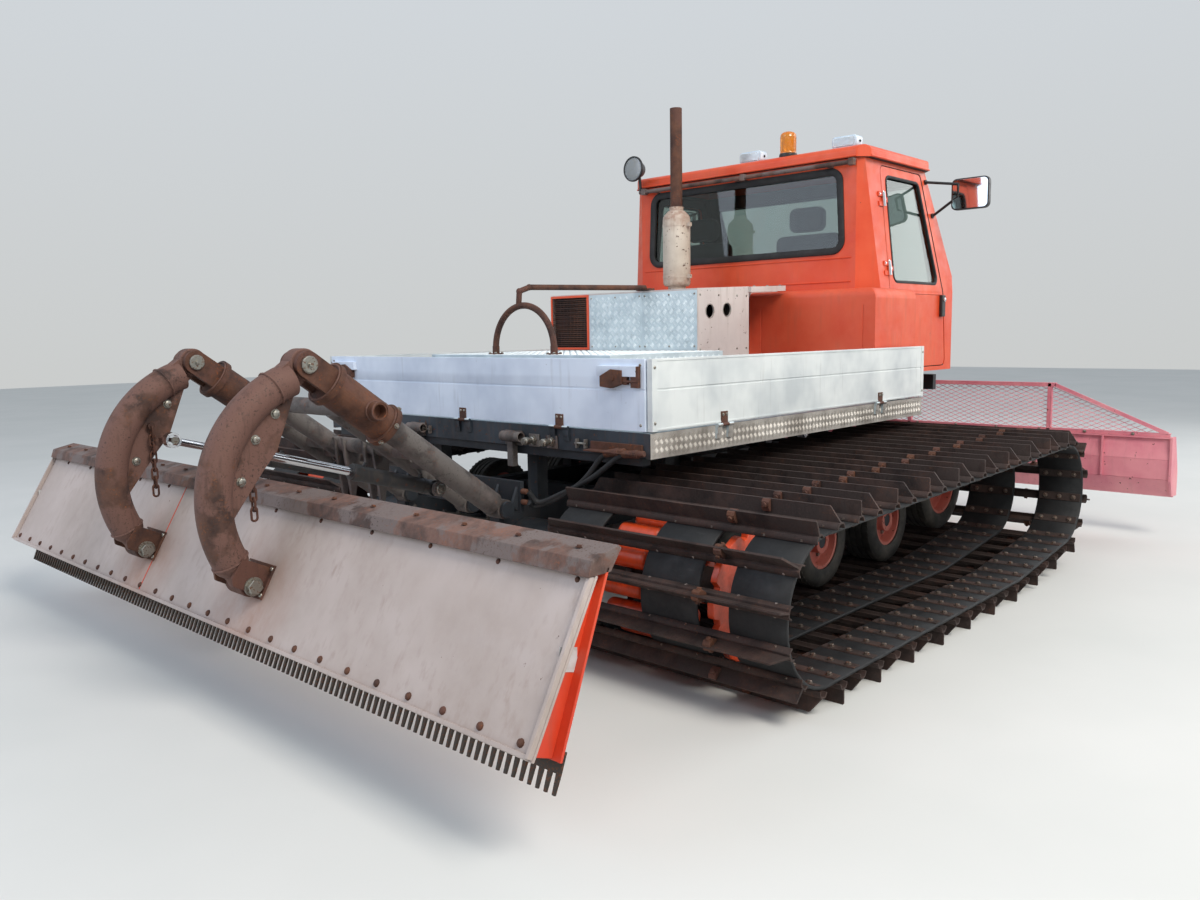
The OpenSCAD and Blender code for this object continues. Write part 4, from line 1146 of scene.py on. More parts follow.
@dataclass
class BeltTrack(Assembly):
    """One side's track: three rubber belts joined by steel cleats."""

    side: Side
    loop: Loop
    belts: tuple[Pair, ...] = ((850, 1110), (1405, 1685), (1830, 2080))
    belt_t: float = 14.0
    belt_steps: int = 264
    cleats: int = 48
    cleat_y0: float = 835.0
    cleat_y1: float = 2100.0
    cleat_h: float = 85.0
    rib_t: float = 9.0
    tab_y: float = 1757.0

    def point(self, at: Triple, u: float, y: float, w: float) -> Vector:
        """Turns a place on the loop, along, sideways and outward, into a point of the frame."""
        x, z, a = at
        return spot(x + u * sin(a) + w * cos(a), y * self.side.value, z - u * cos(a) + w * sin(a))

    def block(self, shape: Shape, at: Triple, outline: Outline, y0: float, y1: float) -> None:
        """Runs an outline of along and outward across the belt."""
        ring = [self.point(at, u, y0, w) for u, w in outline]
        shape.prism(ring, Vector((0, (y1 - y0) * MM * self.side.value, 0)))

    def build(self) -> None:
        """Makes the belts and the cleats."""
        belt, steps = Shape(), self.belt_steps
        for y0, y1 in self.belts:
            t = self.belt_t
            ring = [(y0, -3), (y0 + 3, 0), (y1 - 3, 0), (y1, -3), (y1, 3 - t), (y1 - 3, -t), (y0 + 3, -t),
                    (y0, 3 - t)]
            places = [self.loop.place(self.loop.length * k / steps) for k in range(steps)]
            belt.grid([[self.point(at, 0, y, w) for y, w in ring] for at in places], close_rows=True)
        piece = belt.build(f"belts_{self.side.word}", Paint.BELT, self.body, 0, 50)
        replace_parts(piece, f"track_{self.side.word}")
        steel = Shape()
        hat = [(26, 0.4), (26, 5), (22, 16), (14, 25), (-14, 25), (-22, 16), (-26, 5), (-26, 0.4)]
        hat += [(-21, 0.4), (-17, 13), (-11, 19), (11, 19), (17, 13), (21, 0.4)]
        for k in range(self.cleats):
            at = self.loop.place(self.loop.length * (k + 0.5) / self.cleats)
            cut = (RibEnd.SQUARE if k % 2 == 0 else RibEnd.OBLIQUE).value
            self.block(steel, at, hat, self.cleat_y0, self.cleat_y1)
            h, half = self.cleat_h, self.rib_t / 2
            side = [(self.cleat_y0, 22), (self.cleat_y1, 22), (self.cleat_y1 - cut, h - 3),
                    (self.cleat_y1 - cut - 3, h)]
            side += [(self.cleat_y0 + cut + 3, h), (self.cleat_y0 + cut, h - 3)]
            ring = [self.point(at, -half, y, w) for y, w in side]
            steel.prism(ring, self.point(at, half, 0, 0) - self.point(at, -half, 0, 0))
        steel.build(f"cleats_{self.side.word}", Paint.CLEAT, self.body, 1.2)

    def dress(self) -> None:
        """Adds backing plates, bolts and the rusty stud holder on each cleat."""
        plates, bolts, holders = Shape(), Shape(), Shape()
        for k in range(self.cleats):
            at = self.loop.place(self.loop.length * (k + 0.5) / self.cleats)
            a = at[2]
            out = Vector((cos(a), 0, sin(a)))
            for y0, y1 in self.belts:
                low = -self.belt_t
                self.block(plates, at, [(-25, low), (25, low), (22, low - 5), (-22, low - 5)], y0 + 8, y1 - 8)
                for share in (0.18, 0.5, 0.82):
                    y = y0 + share * (y1 - y0)
                    bolts.bolt(self.point(at, 0, y, low - 5), -out, 20)
                    for u in (-20, 20) if share != 0.5 else ():
                        bolts.bolt(self.point(at, u * 0.98, y, 8), out * 0.93 + self.along(a) * 0.018 * u, 11)
            y = self.tab_y + (22 if k % 2 else -22)
            for w in (1, -1):
                block = [(4.6, 34), (4.6, 83.5), (13, 83.5), (22, 72), (22, 50), (13, 34)][::w]
                self.block(holders, at, [(u * w, h) for u, h in block], y - 17, y + 17)
                holders.bolt(self.point(at, 22 * w, y, 61), self.along(a) * w, 19)
        plates.build(f"backing_plates_{self.side.word}", Paint.CLEAT, self.body, 0.8)
        bolts.build(f"cleat_bolts_{self.side.word}", Paint.BOLT, self.body)
        holders.build(f"stud_holders_{self.side.word}", Paint.RUST, self.body, 1.5)

    @staticmethod
    def along(a: float) -> Vector:
        """Unit direction along the belt at an outward angle."""
        return Vector((sin(a), 0, -cos(a)))


@dataclass
class RunningGear(Assembly):
    """Road wheels, idlers and drive sprockets of both sides."""

    lane_y: float = 1255.0
    sprocket: Triple = (30.0, 385.0, 300.0)
    teeth: int = 12
    lugs: int = 44
    wheels: tuple[Triple, ...] = (
        (545, 323.9, 239), (1273, 323.9, 239), (2001, 323.9, 239), (2730, 450, 290.1))

    def build(self) -> None:
        """Turns the tyres, with three grooves, and breaks the rims' and sprockets' edges."""
        tyre = Shape()
        for x, z, r in self.wheels:
            half = [(r - 94.8, 86), (r - 78, 93), (r - 52, 95), (r - 26, 92), (r - 10, 84), (r - 3, 74),
                    (r - 2, 62)]
            half += [(r - 2, 44), (r - 9, 42), (r - 9, 34), (r - 2, 32), (r - 2, 6), (r - 9, 4)]
            profile = [(a, -b) for a, b in half] + [(a, b) for a, b in reversed(half)]
            for side in Side:
                tyre.lathe(profile, spot(x, self.lane_y * side.value, z), LEFTWARD, 64, True)
        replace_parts(tyre.build("tyres_tread", Paint.TYRE, self.body, 0, 30), "tyres")
        refine("rims", Paint.RED_RIM, self.body, 3.0)
        self.sprockets()

    def sprockets(self) -> None:
        """Makes each drive sprocket: dark hub and inner disc, cast rollers and an orange toothed disc."""
        hub, rollers, teeth = Shape(), Shape(), Shape()
        x, z, r = self.sprocket
        barrel = [(0, 0), (26, 0), (36, 5), (41, 13), (42, 26), (42, 194), (41, 207), (36, 215), (26, 220),
                  (0, 220)]
        for side in Side:
            s, out, centre = side.value, side.out, spot(x, 0, z)
            drum = [(40.3, 761), (75, 761), (75, 1225), (186, 1225), (190, 1229), (190, 1251), (186, 1255),
                    (75, 1255)]
            hub.lathe([*drum, (75, 1760), (60, 1760), (40.3, 1760)], centre, out, 48, True)
            for k in range(self.teeth):
                t = radians(360 / self.teeth * k)
                c, q = cos(t), sin(t)
                rollers.lathe(barrel, spot(x + (r - 74) * c, 1150 * s, z - (r - 74) * q), out, 28)
                tie = [(168, -26), (216, -26), (216, 26), (168, 26)]
                hub.section([(x + a * c + b * q, z - a * q + b * c) for a, b in tie], 1228 * s, 1252 * s)
            outline = []
            for k in range(self.teeth):
                for angle, reach in ((-9, 32), (-5, 28), (5, 28), (9, 32), (12, 60), (18, 60)):
                    t = radians(360 / self.teeth * k + angle)
                    outline.append((x + (r - reach) * cos(t), z + (r - reach) * sin(t)))
            bore = [(x + 76 * cos(pi * k / 36), z + 76 * sin(pi * k / 36)) for k in range(72)]
            rows = [[spot(a, y * s, b) for a, b in ring]
                    for ring, y in ((outline, 1713), (outline, 1743), (bore, 1743), (bore, 1713))]
            teeth.grid(rows, close_rows=True)
        for piece in (
            hub.build("sprocket_hubs", Paint.HUB, self.body, 2.0),
            rollers.build("sprocket_rollers", Paint.ROLLER, self.body, 0, 50),
            teeth.build("sprocket_teeth", Paint.ROLLER, self.body, 3.0, 28),
        ):
            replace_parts(piece, "sprockets")

    def dress(self) -> None:
        """Adds hub caps, wheel nuts, tyre lugs and the sprocket bolts."""
        caps, nuts, lugs = Shape(), Shape(), Shape()
        for side in Side:
            sign, out = side.value, side.out
            for x, z, r in self.wheels:
                y = (self.lane_y + 20) * sign
                caps.lathe([(60, 0), (60, 22), (54, 30), (40, 34), (38, 44), (0, 46)], spot(x, y, z), out, 32)
                for c, s in circle(6):
                    nuts.bolt(spot(x + 95 * c, y, z + 95 * s), out, 20)
                for c, s in circle(self.lugs, 0.5 if side is Side.LEFT else 0):
                    for y0, y1 in ((-78, -50), (50, 78)):
                        ring = [spot(x + q * c - p * s, self.lane_y * sign + y0, z + q * s + p * c)
                                for p, q in ((-7, r - 8), (7, r - 8), (5, r - 1), (-5, r - 1))]
                        lugs.prism(ring, Vector((0, (y1 - y0) * MM, 0)))
            x, z, _ = self.sprocket
            for c, s in circle(self.teeth, 0.5):
                nuts.bolt(spot(x + 120 * c, 1743 * sign, z + 120 * s), out, 18)
            caps.lathe([(76, 0), (76, 14), (60, 18), (58, 30), (0, 31)], spot(x, 1760 * sign, z), out, 32)
        caps.build("hub_caps", Paint.RED_RIM, self.body, 1.5)
        nuts.build("wheel_nuts", Paint.ZINC, self.body)
        lugs.build("tyre_lugs", Paint.TYRE, self.body)


@dataclass
class LoadBed(Assembly):
    """Aluminium bed: drop sides of two planks, tailgate, skirts and floor."""

    half_w: float = 1246.0
    length: float = 2620.0
    low: float = 1002.0
    high: float = 1310.0
    skirt_low: float = 885.0
    side_hinges: Pair = (520.0, 2055.0)

    def build(self) -> None:
        """Breaks the planks' and plates' edges."""
        floor = refine("bed_floor", Paint.TREAD, self.body, 1.5)
        inner = spot(15, 0, 0).x
        repaint(floor, Paint.SKIRT, lambda centre, normal: abs(normal.y) > 0.7 and centre.z < 0.998)
        repaint(floor, Paint.TAIL_BEAM, lambda centre, normal: centre.x < inner and centre.z < 0.999)
        hinges = [spot(x, 0, 0).x for x in self.side_hinges]
        leaf_top, face = spot(0, 0, self.low + 70).z, (self.half_w + 0.4) * MM

        def side_leaf(centre: Vector, normal: Vector) -> bool:
            """Tells whether a face belongs to a hinge leaf of a side board."""
            near = min(abs(centre.x - x) for x in hinges) < 0.03
            return near and centre.z < leaf_top and abs(centre.y) > face

        for side in Side:
            board = refine(f"side_board_{side.word}", Paint.PLANK_X, f"board_{side.word}", 1.5)
            repaint(board, Paint.RUST, side_leaf)
        # The tailgate's plank finish carries painted blue skylight.
        gate = refine("tailgate", Paint.PLANK_Y_PAINTED_SKYLIGHT, "tail_board", 1.5)
        rear = spot(-4.4, 0, 0).x
        repaint(gate, Paint.RUST, lambda centre, normal: centre.z < leaf_top and centre.x < rear)

    def dress(self) -> None:
        """Adds tread on the skirts, rivets, hinge screws, lips, latches and the fittings under the tailgate.
        """
        tread = Shape()
        for side in Side:
            sign = side.value
            start = spot(6 if sign < 0 else 2606, (self.half_w - 6) * sign, self.skirt_low + 2)
            lozenges(tread, start, Vector((-sign, 0, 0)), UP, 2600, 106, 24.0)
            self.board_fittings(side)
        tread.build("skirt_tread", Paint.SKIRT_BAR, self.body)
        gate = Shape()
        for y in (-700, 0, 700):
            for dy in (-14, 14):
                gate.dome(spot(-9.2, y + dy, 1042), BACK, 7)
        for y in (-1190, 1190):
            for z in (1028, 1284):
                gate.dome(spot(-4, y, z), BACK, 7)
        gate.build("tailgate_rivets", Paint.ZINC, "tail_board")
        latch = Shape()
        for sign in (-1, 1):
            lever = [(978, 1190), (978, 1236), (1040, 1266), (1104, 1262), (1104, 1204), (1040, 1184)]
            latch.prism([spot(-4, y * sign, z) for y, z in lever], Vector((-26 * MM, 0, 0)))
            for y0, y1, z0, z1, proud in ((968, 1192, 1236, 1279, 8), (1150, 1192, 1188, 1279, 22),
                                          (1104, 1128, 1200, 1268, 22)):
                a, b = sorted((sign * y0, sign * y1))
                latch.box(-proud, -3.5, a, b, z0, z1)
            for z in (1214, 1258):
                latch.rod(spot(-18, sign * 1060, z), spot(-18, sign * 1186, z), 6)
            latch.rod(spot(-34, sign * 1052, 1228), spot(-4, sign * 1052, 1228), 11)
        latch.build("tailgate_latches", Paint.RUST, "tail_board", 1.5)
        self.tail_fittings()

    def tail_fittings(self) -> None:
        """Adds the hydraulic couplings, pipe bracket and lugs that stand on the beam under the tailgate."""
        metal, steel = Shape(), Shape()
        for y in (-526, -649):
            steel.box(-8, -0.5, y - 34, y + 34, 893, 953)
            plug = [(0, 8), (17, 8), (17, 22), (13, 24), (13, 44), (19, 46), (19, 66), (15, 70), (15, 78)]
            metal.lathe([*plug, (0, 78)], spot(0, y, 924), BACK, 24)
            metal.lathe([(20, 8), (24, 8), (24, 18), (20, 18)], spot(0, y, 924), BACK, 6, True)
        for y in (-384, 384):
            steel.box(-34, -0.5, y - 20, y + 20, 790, 962)
            steel.lathe([(19, -78), (25, -78), (25, 56), (19, 56)], spot(-30, y, 936), LEFTWARD, 28, True)
            steel.box(-10, -0.5, y - 60, y + 60, 892, 962)
        for y in (-843, 300, 843):
            steel.box(-22, -0.5, y - 30, y - 22, 908, 950)
            steel.box(-22, -0.5, y + 22, y + 30, 908, 950)
            metal.rod(spot(-14, y - 34, 930), spot(-14, y + 34, 930), 6, 12)
        metal.build("tail_couplings", Paint.ZINC, self.body, 0.8)
        steel.build("tail_brackets", Paint.TUBE, self.body, 2.0)

    def board_fittings(self, side: Side) -> None:
        """Adds one side board's rivets, hinge screws and lips.

        Args:
            side: The board's side.
        """
        sign, out, body = side.value, side.out, f"board_{side.word}"
        rivets, lip = Shape(), Shape()
        for x in (21, self.length - 17):
            for z in (self.low + 36, self.high - 36):
                rivets.dome(spot(x, (self.half_w + 3) * sign, z), out, 8)
        for x in self.side_hinges:
            for dx in (-14, 14):
                rivets.bolt(spot(x + dx, (self.half_w + 5) * sign, self.low + 40), out, 11)
        for z0, z1 in ((self.high - 10, self.high - 1), (self.low + 4, self.low + 12)):
            lip.box(38, self.length - 34, (self.half_w - 0.5) * sign, (self.half_w + 2.5) * sign, z0, z1)
        rivets.build(f"board_rivets_{side.word}", Paint.ZINC, body)
        lip.build(f"board_lips_{side.word}", Paint.PLANK_X, body, 0.8)


@dataclass
class DeckGear(Assembly):
    """Tread-plate deck box, hoop, engine cover, grille, muffler and lockers between bed and cab."""

    top: float = 1316.0
    cover_x: float = 1200.0
    cover_y: float = 580.0
    grille: tuple[float, float, float, float] = (262, 562, 1335, 1640)
    holes: tuple[Pair, ...] = ((1316, 1535), (1480, 1544))
    muffler_at: Pair = (2080.0, 260.0)
    wires: int = 25
    fins: int = 60

    def build(self) -> None:
        """Breaks the edges of the sheet metal and makes the grille anew."""
        refine("deck_box", Paint.TREAD, self.body, 2.0)
        refine("engine_cover", Paint.WHITE_PANEL, self.body, 2.5)
        refine("lockers", Paint.ORANGE_DULL, self.body, 3.0)
        refine("load_hoop", Paint.RUST, self.body, 1.0)
        shell = [(40.2, 2194), (40.2, 2225), (56, 2225), (66, 2214), (80, 2200), (89, 2186), (92, 2168),
                 (92, 1752)]
        shell += [(88, 1737), (78, 1729), (60, 1729), (60, 1699.6), (30, 1699.6), (30, 2194)]
        muffler = Shape()
        muffler.lathe(shell, spot(*self.muffler_at, 0), UP, 64, True)
        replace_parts(muffler.build("muffler_drum", Paint.MUFFLER, self.body, 0, 40), "muffler")
        refine("exhaust_pipe", Paint.RUST, self.body, 0.8)
        self.make_grille()

    def make_grille(self) -> None:
        """Makes the orange surround, the wire grille and the radiator's fins behind it."""
        y0, y1, z0, z1 = self.grille
        frame = Shape()
        x0, x1 = self.cover_x - 9, self.cover_x - 0.4
        for a, b, c, d in ((y0 - 14, y1 + 14, z1, z1 + 14), (y0 - 14, y1 + 14, z0 - 14, z0),
                           (y0 - 14, y0, z0, z1), (y1, y1 + 14, z0, z1)):
            frame.box(x0, x1, a, b, c, d)
        surround = frame.build("grille_surround", Paint.ORANGE, self.body, 2.0)
        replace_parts(surround, "radiator_grille")
        wires, fins = Shape(), Shape()
        for k in range(1, self.wires):
            y = y0 + (y1 - y0) * k / self.wires
            wires.rod(spot(1195.5, y, z0 - 4), spot(1195.5, y, z1 + 4), 1.3, 6)
            z = z0 + (z1 - z0) * k / self.wires
            wires.rod(spot(1193.4, y0 - 4, z), spot(1193.4, y1 + 4, z), 1.3, 6)
        for k in range(self.fins):
            y = y0 + (y1 - y0) * (k + 0.5) / self.fins
            fins.box(1222, 1232, y - 0.7, y + 0.7, z0 - 10, z1 + 6)
        fins.box(1232, 1240, y0 - 20, y1 + 10, z0 - 20, z1 + 6)
        for k in range(12):
            z = z0 + (z1 - z0) * (k + 0.5) / 12
            fins.box(1221, 1232, y0 - 10, y1 + 6, z - 1.5, z + 1.5)
        wires.build("grille_wires", Paint.RUST, self.body)
        fins.build("radiator_core", Paint.IRON, self.body)

    def dress(self) -> None:
        """Adds tread plate, cover plates, screws, hole rims, the muffler's bands and the hoop's bolts."""
        tread = Shape()
        lozenges(tread, spot(284, -756, self.top), AHEAD, LEFTWARD, 902, 1372)
        lozenges(tread, spot(280, 616, 1000), RIGHTWARD, UP, 1372, 310)
        for side in Side:
            start = spot(1186, 620, 1000) if side is Side.LEFT else spot(284, -760, 1000)
            lozenges(tread, start, Vector((-side.value, 0, 0)), UP, 902, 310)
        plates = Shape()
        plates.box(self.cover_x - 1.6, self.cover_x - 0.2, -578, -170, 1318, 1650)
        plates.box(self.cover_x - 3.0, self.cover_x - 1.4, -176, 246, 1318, 1650)
        plates.build("cover_tread_plates", Paint.TREAD, self.body, 0.4)
        lozenges(tread, spot(self.cover_x - 1.6, -180, 1320), RIGHTWARD, UP, 396, 326)
        lozenges(tread, spot(self.cover_x - 3.0, 244, 1320), RIGHTWARD, UP, 420, 326)
        tread.build("deck_tread", Paint.TREAD_BAR, self.body, 0)
        screws = Shape()
        for y in (-560, -380, -200, -160, 30, 225):
            for z in (1340, 1630):
                screws.dome(spot(self.cover_x - 3, y, z), BACK, 6, 3.5)
        for side in Side:
            for x in (1225, 1400, 1580, 1675):
                for z in (1020, 1320, 1625):
                    screws.dome(spot(x, self.cover_y * side.value, z), side.out, 7, 4)
            for x in (1740, 1880, 2020):
                screws.bolt(spot(x, 590 * side.value, 1678 + (x - 1700) / 24), UP, 13)
        for x, z in self.holes:
            screws.lathe([(36.2, -1), (41, -1), (41, 1.5), (38, 2.5), (36.2, 1.5)],
                         spot(x, -self.cover_y, z), RIGHTWARD, 32, True)
        screws.build("cover_screws", Paint.ZINC, self.body)
        self.muffler_fittings()
        feet = Shape()
        for s in (-1, 1):
            for dx, dy in ((-26, -26), (26, -26), (-26, 26), (26, 26)):
                feet.bolt(spot(350 + dx * 0.9, -85 + s * 225 + dy * 0.9, self.top + 6.5), UP, 12)
        feet.build("hoop_bolts", Paint.ZINC, self.body)

    def muffler_fittings(self) -> None:
        """Adds the muffler's bands with their lugs, and the pipe's clamp."""
        bands, (x, y) = Shape(), self.muffler_at
        for z in (1790, 2130):
            bands.lathe([(92, z - 9), (94, z - 9), (94, z + 9), (92, z + 9)], spot(x, y, 0), UP, 48, True)
            bands.box(x - 12, x + 12, y - 120, y - 92, z - 12, z + 12)
        bands.lathe([(40.3, 2226), (47, 2226), (47, 2252), (40.3, 2252)], spot(x, y, 0), UP, 32, True)
        bands.build("muffler_bands", Paint.MUFFLER, self.body, 0.8)


@dataclass
class Cabin(Assembly):
    """Cab shell with its roof cap, doors, glass, gaskets, mirrors, seats and controls."""

    rear_x: float = 2440.0
    half_w: float = 1000.0
    waist_z: float = 1670.0
    lean: float = 95.0 / 840.0
    hinge_x: float = 2648.0
    hinge_heights: Pair = (1800.0, 2230.0)
    seat_y: float = 430.0

    def side_y(self, z: float) -> float:
        """The side's distance from the centre plane at a height."""
        return self.half_w - max(0.0, z - self.waist_z) * self.lean

    def build(self) -> None:
        """Breaks the panels' edges and gives shell, doors, roof and glass their finishes."""
        shell = refine("cab_shell", Paint.ORANGE, self.body, 6.0, 26)
        middle = spot(3080, 0, 1800)
        inside = spot(2472, 0, 0).x

        def faces_in(centre: Vector, normal: Vector) -> bool:
            """Says whether a face of the shell looks into the cab."""
            return normal.dot(middle - centre) > 0.15 and centre.x > inside and abs(centre.y) < 0.975

        repaint(shell, Paint.LINING, faces_in)
        roof = refine("cab_roof", Paint.ORANGE, self.body, 4.0, 26)
        repaint(roof, Paint.LINING, lambda centre, normal: normal.z < -0.5)
        refine("cab_glass", Paint.GLASS, self.body, 0)
        for side in Side:
            word = side.word
            door = refine(f"door_{word}", Paint.ORANGE, f"{word}_door", 3.0, 26)
            repaint(door, Paint.LINING, lambda centre, normal, s=side.value: normal.y * s < -0.5)
            refine(f"door_glass_{word}", Paint.GLASS, f"{word}_door", 0)
        refine("controls", Paint.BLACK_ABS, self.body, 6.0)
        refine("mirrors", Paint.BLACK_ABS, self.body, 4.0)
        self.seats()

    def seats(self) -> None:
        """Sews the two seats: crowned cushions and backs with piping, on moulded pans."""
        flat, upright = Matrix.Identity(3), Matrix.Rotation(radians(-90), 3, "Y")
        for side in Side:
            y, pans = self.seat_y * side.value, Shape()
            pans.box(2620, 3080, y - 240, y + 240, 1472, 1500)
            pans.box(2700, 3000, y - 165, y + 165, 1169, 1472)
            pan = pans.build(f"seat_pan_{side.word}", Paint.BLACK_ABS, self.body, 10)
            base = cushion(spot(2850, y, 1500), (455, 490, 66), flat, 10)
            back = cushion(spot(2652, y, 1815), (470, 470, 74), upright, 9)
            head = cushion(spot(2640, y, 2145), (160, 250, 70), upright, 8)
            for form, name in ((base, "seat_cushion"), (back, "seat_back"), (head, "headrest")):
                form.build(f"{name}_{side.word}", Paint.CLOTH, self.body, 0, 60)
            if side is Side.RIGHT:
                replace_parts(pan, "seats")

    def band(self, name: str, rows: Sequence[Line], body: str) -> None:
        """Joins rows of points into a closed rubber moulding round a window.

        Args:
            name: The moulding's name.
            rows: Its rows.
            body: The body that it rides on.
        """
        shape = Shape()
        shape.grid(rows, close_rows=True)
        shape.build(name, Paint.GASKET, body, 0, 50)

    def ring(self, name: str, path: Line, radius: float) -> None:
        """Runs a closed round gasket along a path.

        Args:
            name: The gasket's name.
            path: Its middle line.
            radius: Its radius in millimetres.
        """
        shape = Shape()
        shape.sweep(path, radius, 10, closed=True)
        shape.build(name, Paint.GASKET, self.body)

    def dress(self) -> None:
        """Adds gaskets, beads, hinges, handles, rails and mirror glass."""
        rows = []
        for grow, proud in ((10, 0), (10, 6), (4, 10), (-22, 9), (-34, 4), (-34, -14), (-2, -14)):
            corners = [(-790 - grow, 1900 - grow), (790 + grow, 1900 - grow), (765 + grow, 2415 + grow),
                       (-765 - grow, 2415 + grow)]
            rows.append([spot(self.rear_x - proud, y, z) for y, z in rounded(corners, 80 + grow, 8)])
        self.band("rear_gasket", rows, self.body)
        screen = rounded([(-820, 1640), (820, 1640), (820, 2385), (-820, 2385)], 20, 4)
        front = [spot(3720 - 410 * (z - 1560) / 910 + 3, y, z) for y, z in screen]
        self.ring("screen_gasket", front, 11)
        gap = rounded([(2652, 1162), (3507, 1162), (3457, 1630), (3232, 2443), (2652, 2443)], 43, 6)
        for side in Side:
            s, word = side.value, side.word
            rows = []
            for grow, proud in ((5, 0), (5, 3), (1, 5), (-8, 4), (-12, 1), (-12, -12), (-2, -12)):
                corners = [(2715 - grow, 1715 - grow), (3378 + grow * 1.2, 1715 - grow),
                           (3190 + grow * 0.8, 2385 + grow)]
                line = rounded([*corners, (2715 - grow, 2385 + grow)], 48 + grow, 8)
                rows.append([spot(x, (self.side_y(z) + proud) * s, z) for x, z in line])
            self.band(f"window_gasket_{word}", rows, f"{word}_door")
            seal = [spot(x, (self.side_y(z) - 16) * s, z) for x, z in gap]
            self.ring(f"door_seal_{word}", seal, 5)
            self.side_fittings(side)
        bead = Shape()
        bead.sweep([spot(self.rear_x, y, 1868) for y in (-840, -300, 300, 840)], 5, 8)
        bead.sweep([spot(self.rear_x, y, 1720) for y in (-840, -300, 300, 840)], 5, 8)
        bead.build("rear_wall_beads", Paint.ORANGE, self.body)
        drip = Shape()
        for s in (-1, 1):
            edge = [(2480, 946), (3300, 946), (3343, 903)]
            drip.sweep([spot(x, y * s, 2478) for x, y in edge], 6, 8)
        drip.sweep([spot(2414, y, 2478) for y in (-880, 0, 880)], 6, 8)
        drip.build("roof_drip_rail", Paint.ORANGE, self.body)

    def side_fittings(self, side: Side) -> None:
        """Adds a side's waist bead, chrome hinges, door handle and mirror glass.

        Args:
            side: The side.
        """
        s, word = side.value, side.word
        for name, x0, x1, body in (("shell", 2536, 2640, self.body), ("door", 2668, 3420, f"{word}_door")):
            bead = Shape()
            bead.sweep([spot(x0, self.side_y(1660) * s, 1648), spot(x1, self.side_y(1660) * s, 1648)], 5, 8)
            bead.build(f"waist_bead_{name}_{word}", Paint.ORANGE, body)
        axis = Vector((0, -self.lean * s, 1)).normalized()
        fixed, moving = Shape(), Shape()
        for z in self.hinge_heights:
            centre = spot(self.hinge_x, (self.side_y(2000) + 12 - (z - 2000) * self.lean) * s, z)
            for shape, a, b in ((fixed, -45.4, -15.6), (fixed, 15.6, 45.4), (moving, -15.2, 15.2)):
                shape.lathe([(0, a), (11.8, a), (11.8, b), (0, b)], centre, axis, 24)
            fixed.lathe([(0, 45), (7, 45), (6, 50), (0, 52)], centre, axis, 16)
            y = (self.side_y(z) + 2.2) * s
            for dz in (-30, 30):
                fixed.bolt(spot(self.hinge_x - 36, y + 0.0002, z + dz), Vector((0, s, self.lean)), 12)
            moving.bolt(spot(self.hinge_x + 38, y, z), Vector((0, s, self.lean)), 12)
        fixed.build(f"hinge_knuckles_{word}", Paint.CHROME, self.body)
        moving.build(f"hinge_door_knuckles_{word}", Paint.CHROME, f"{word}_door")
        handle = Shape()
        handle.box(3387, 3443, 1001 * s, 1026 * s, 1496, 1644)
        handle.build(f"door_handle_{word}", Paint.BLACK_ABS, f"{word}_door", 7.0)
        button = Shape()
        button.lathe([(15, 0), (15, 8), (11, 11), (0, 11)], spot(3415, 1025 * s, 1612), side.out, 24)
        button.build(f"door_lock_{word}", Paint.CHROME, f"{word}_door")
        glass = Shape()
        plate = rounded([(1093, 2208), (1327, 2208), (1327, 2397), (1093, 2397)], 28)
        glass.prism([spot(3343.6, y * s, z) for y, z in plate], Vector((0.002, 0, 0)))
        glass.build(f"mirror_glass_{word}", Paint.MIRROR, self.body, 0.8)


def cushion(at: Vector, size: Triple, turn: Matrix, crown: float) -> Shape:
    """Makes a stuffed cushion with pulled-in sides, a sewn border and a crowned top.

    Args:
        at: The middle of its underside.
        size: Length, width and thickness in millimetres.
        turn: Rotation of the cushion about that point.
        crown: How far the top swells, in millimetres.

    Returns:
        The cushion's shape.
    """
    shape = Shape()
    length, width, thick = size
    plan = rounded([(-length / 2, -width / 2), (length / 2, -width / 2), (length / 2, width / 2),
                    (-length / 2, width / 2)], 46, 5)
    dense = []
    for i, (x, y) in enumerate(plan):
        nx, ny = plan[(i + 1) % len(plan)]
        parts = 6 if hypot(nx - x, ny - y) > 60 else 1
        dense += [(x + (nx - x) * k / parts, y + (ny - y) * k / parts) for k in range(parts)]
    rows = [(0.90, 0.0), (0.965, 2.0), (0.99, thick * 0.25), (1.0, thick * 0.5), (0.985, thick * 0.72)]
    rows += [(0.965, thick * 0.80), (0.975, thick * 0.84), (0.95, thick * 0.90), (0.86, thick * 0.96)]
    rings = []
    for scale, height in rows:
        ring = []
        for x, y in dense:
            pull = 1 - 0.016 * cos(pi * x / length) * cos(pi * y / width)
            ring.append(at + turn @ Vector((x * scale * pull, y * scale * pull, height)) * MM)
        rings.append(ring)
    for scale in (0.7, 0.5, 0.3, 0.1):
        height = thick * 0.97 + crown * (1 - scale**2)
        rings.append([at + turn @ Vector((x * scale, y * scale, height)) * MM for x, y in dense])
    shape.grid(rings)
    shape.add(rings[0], [tuple(reversed(range(len(dense))))])
    shape.add(rings[-1], [tuple(range(len(dense)))])
    return shape


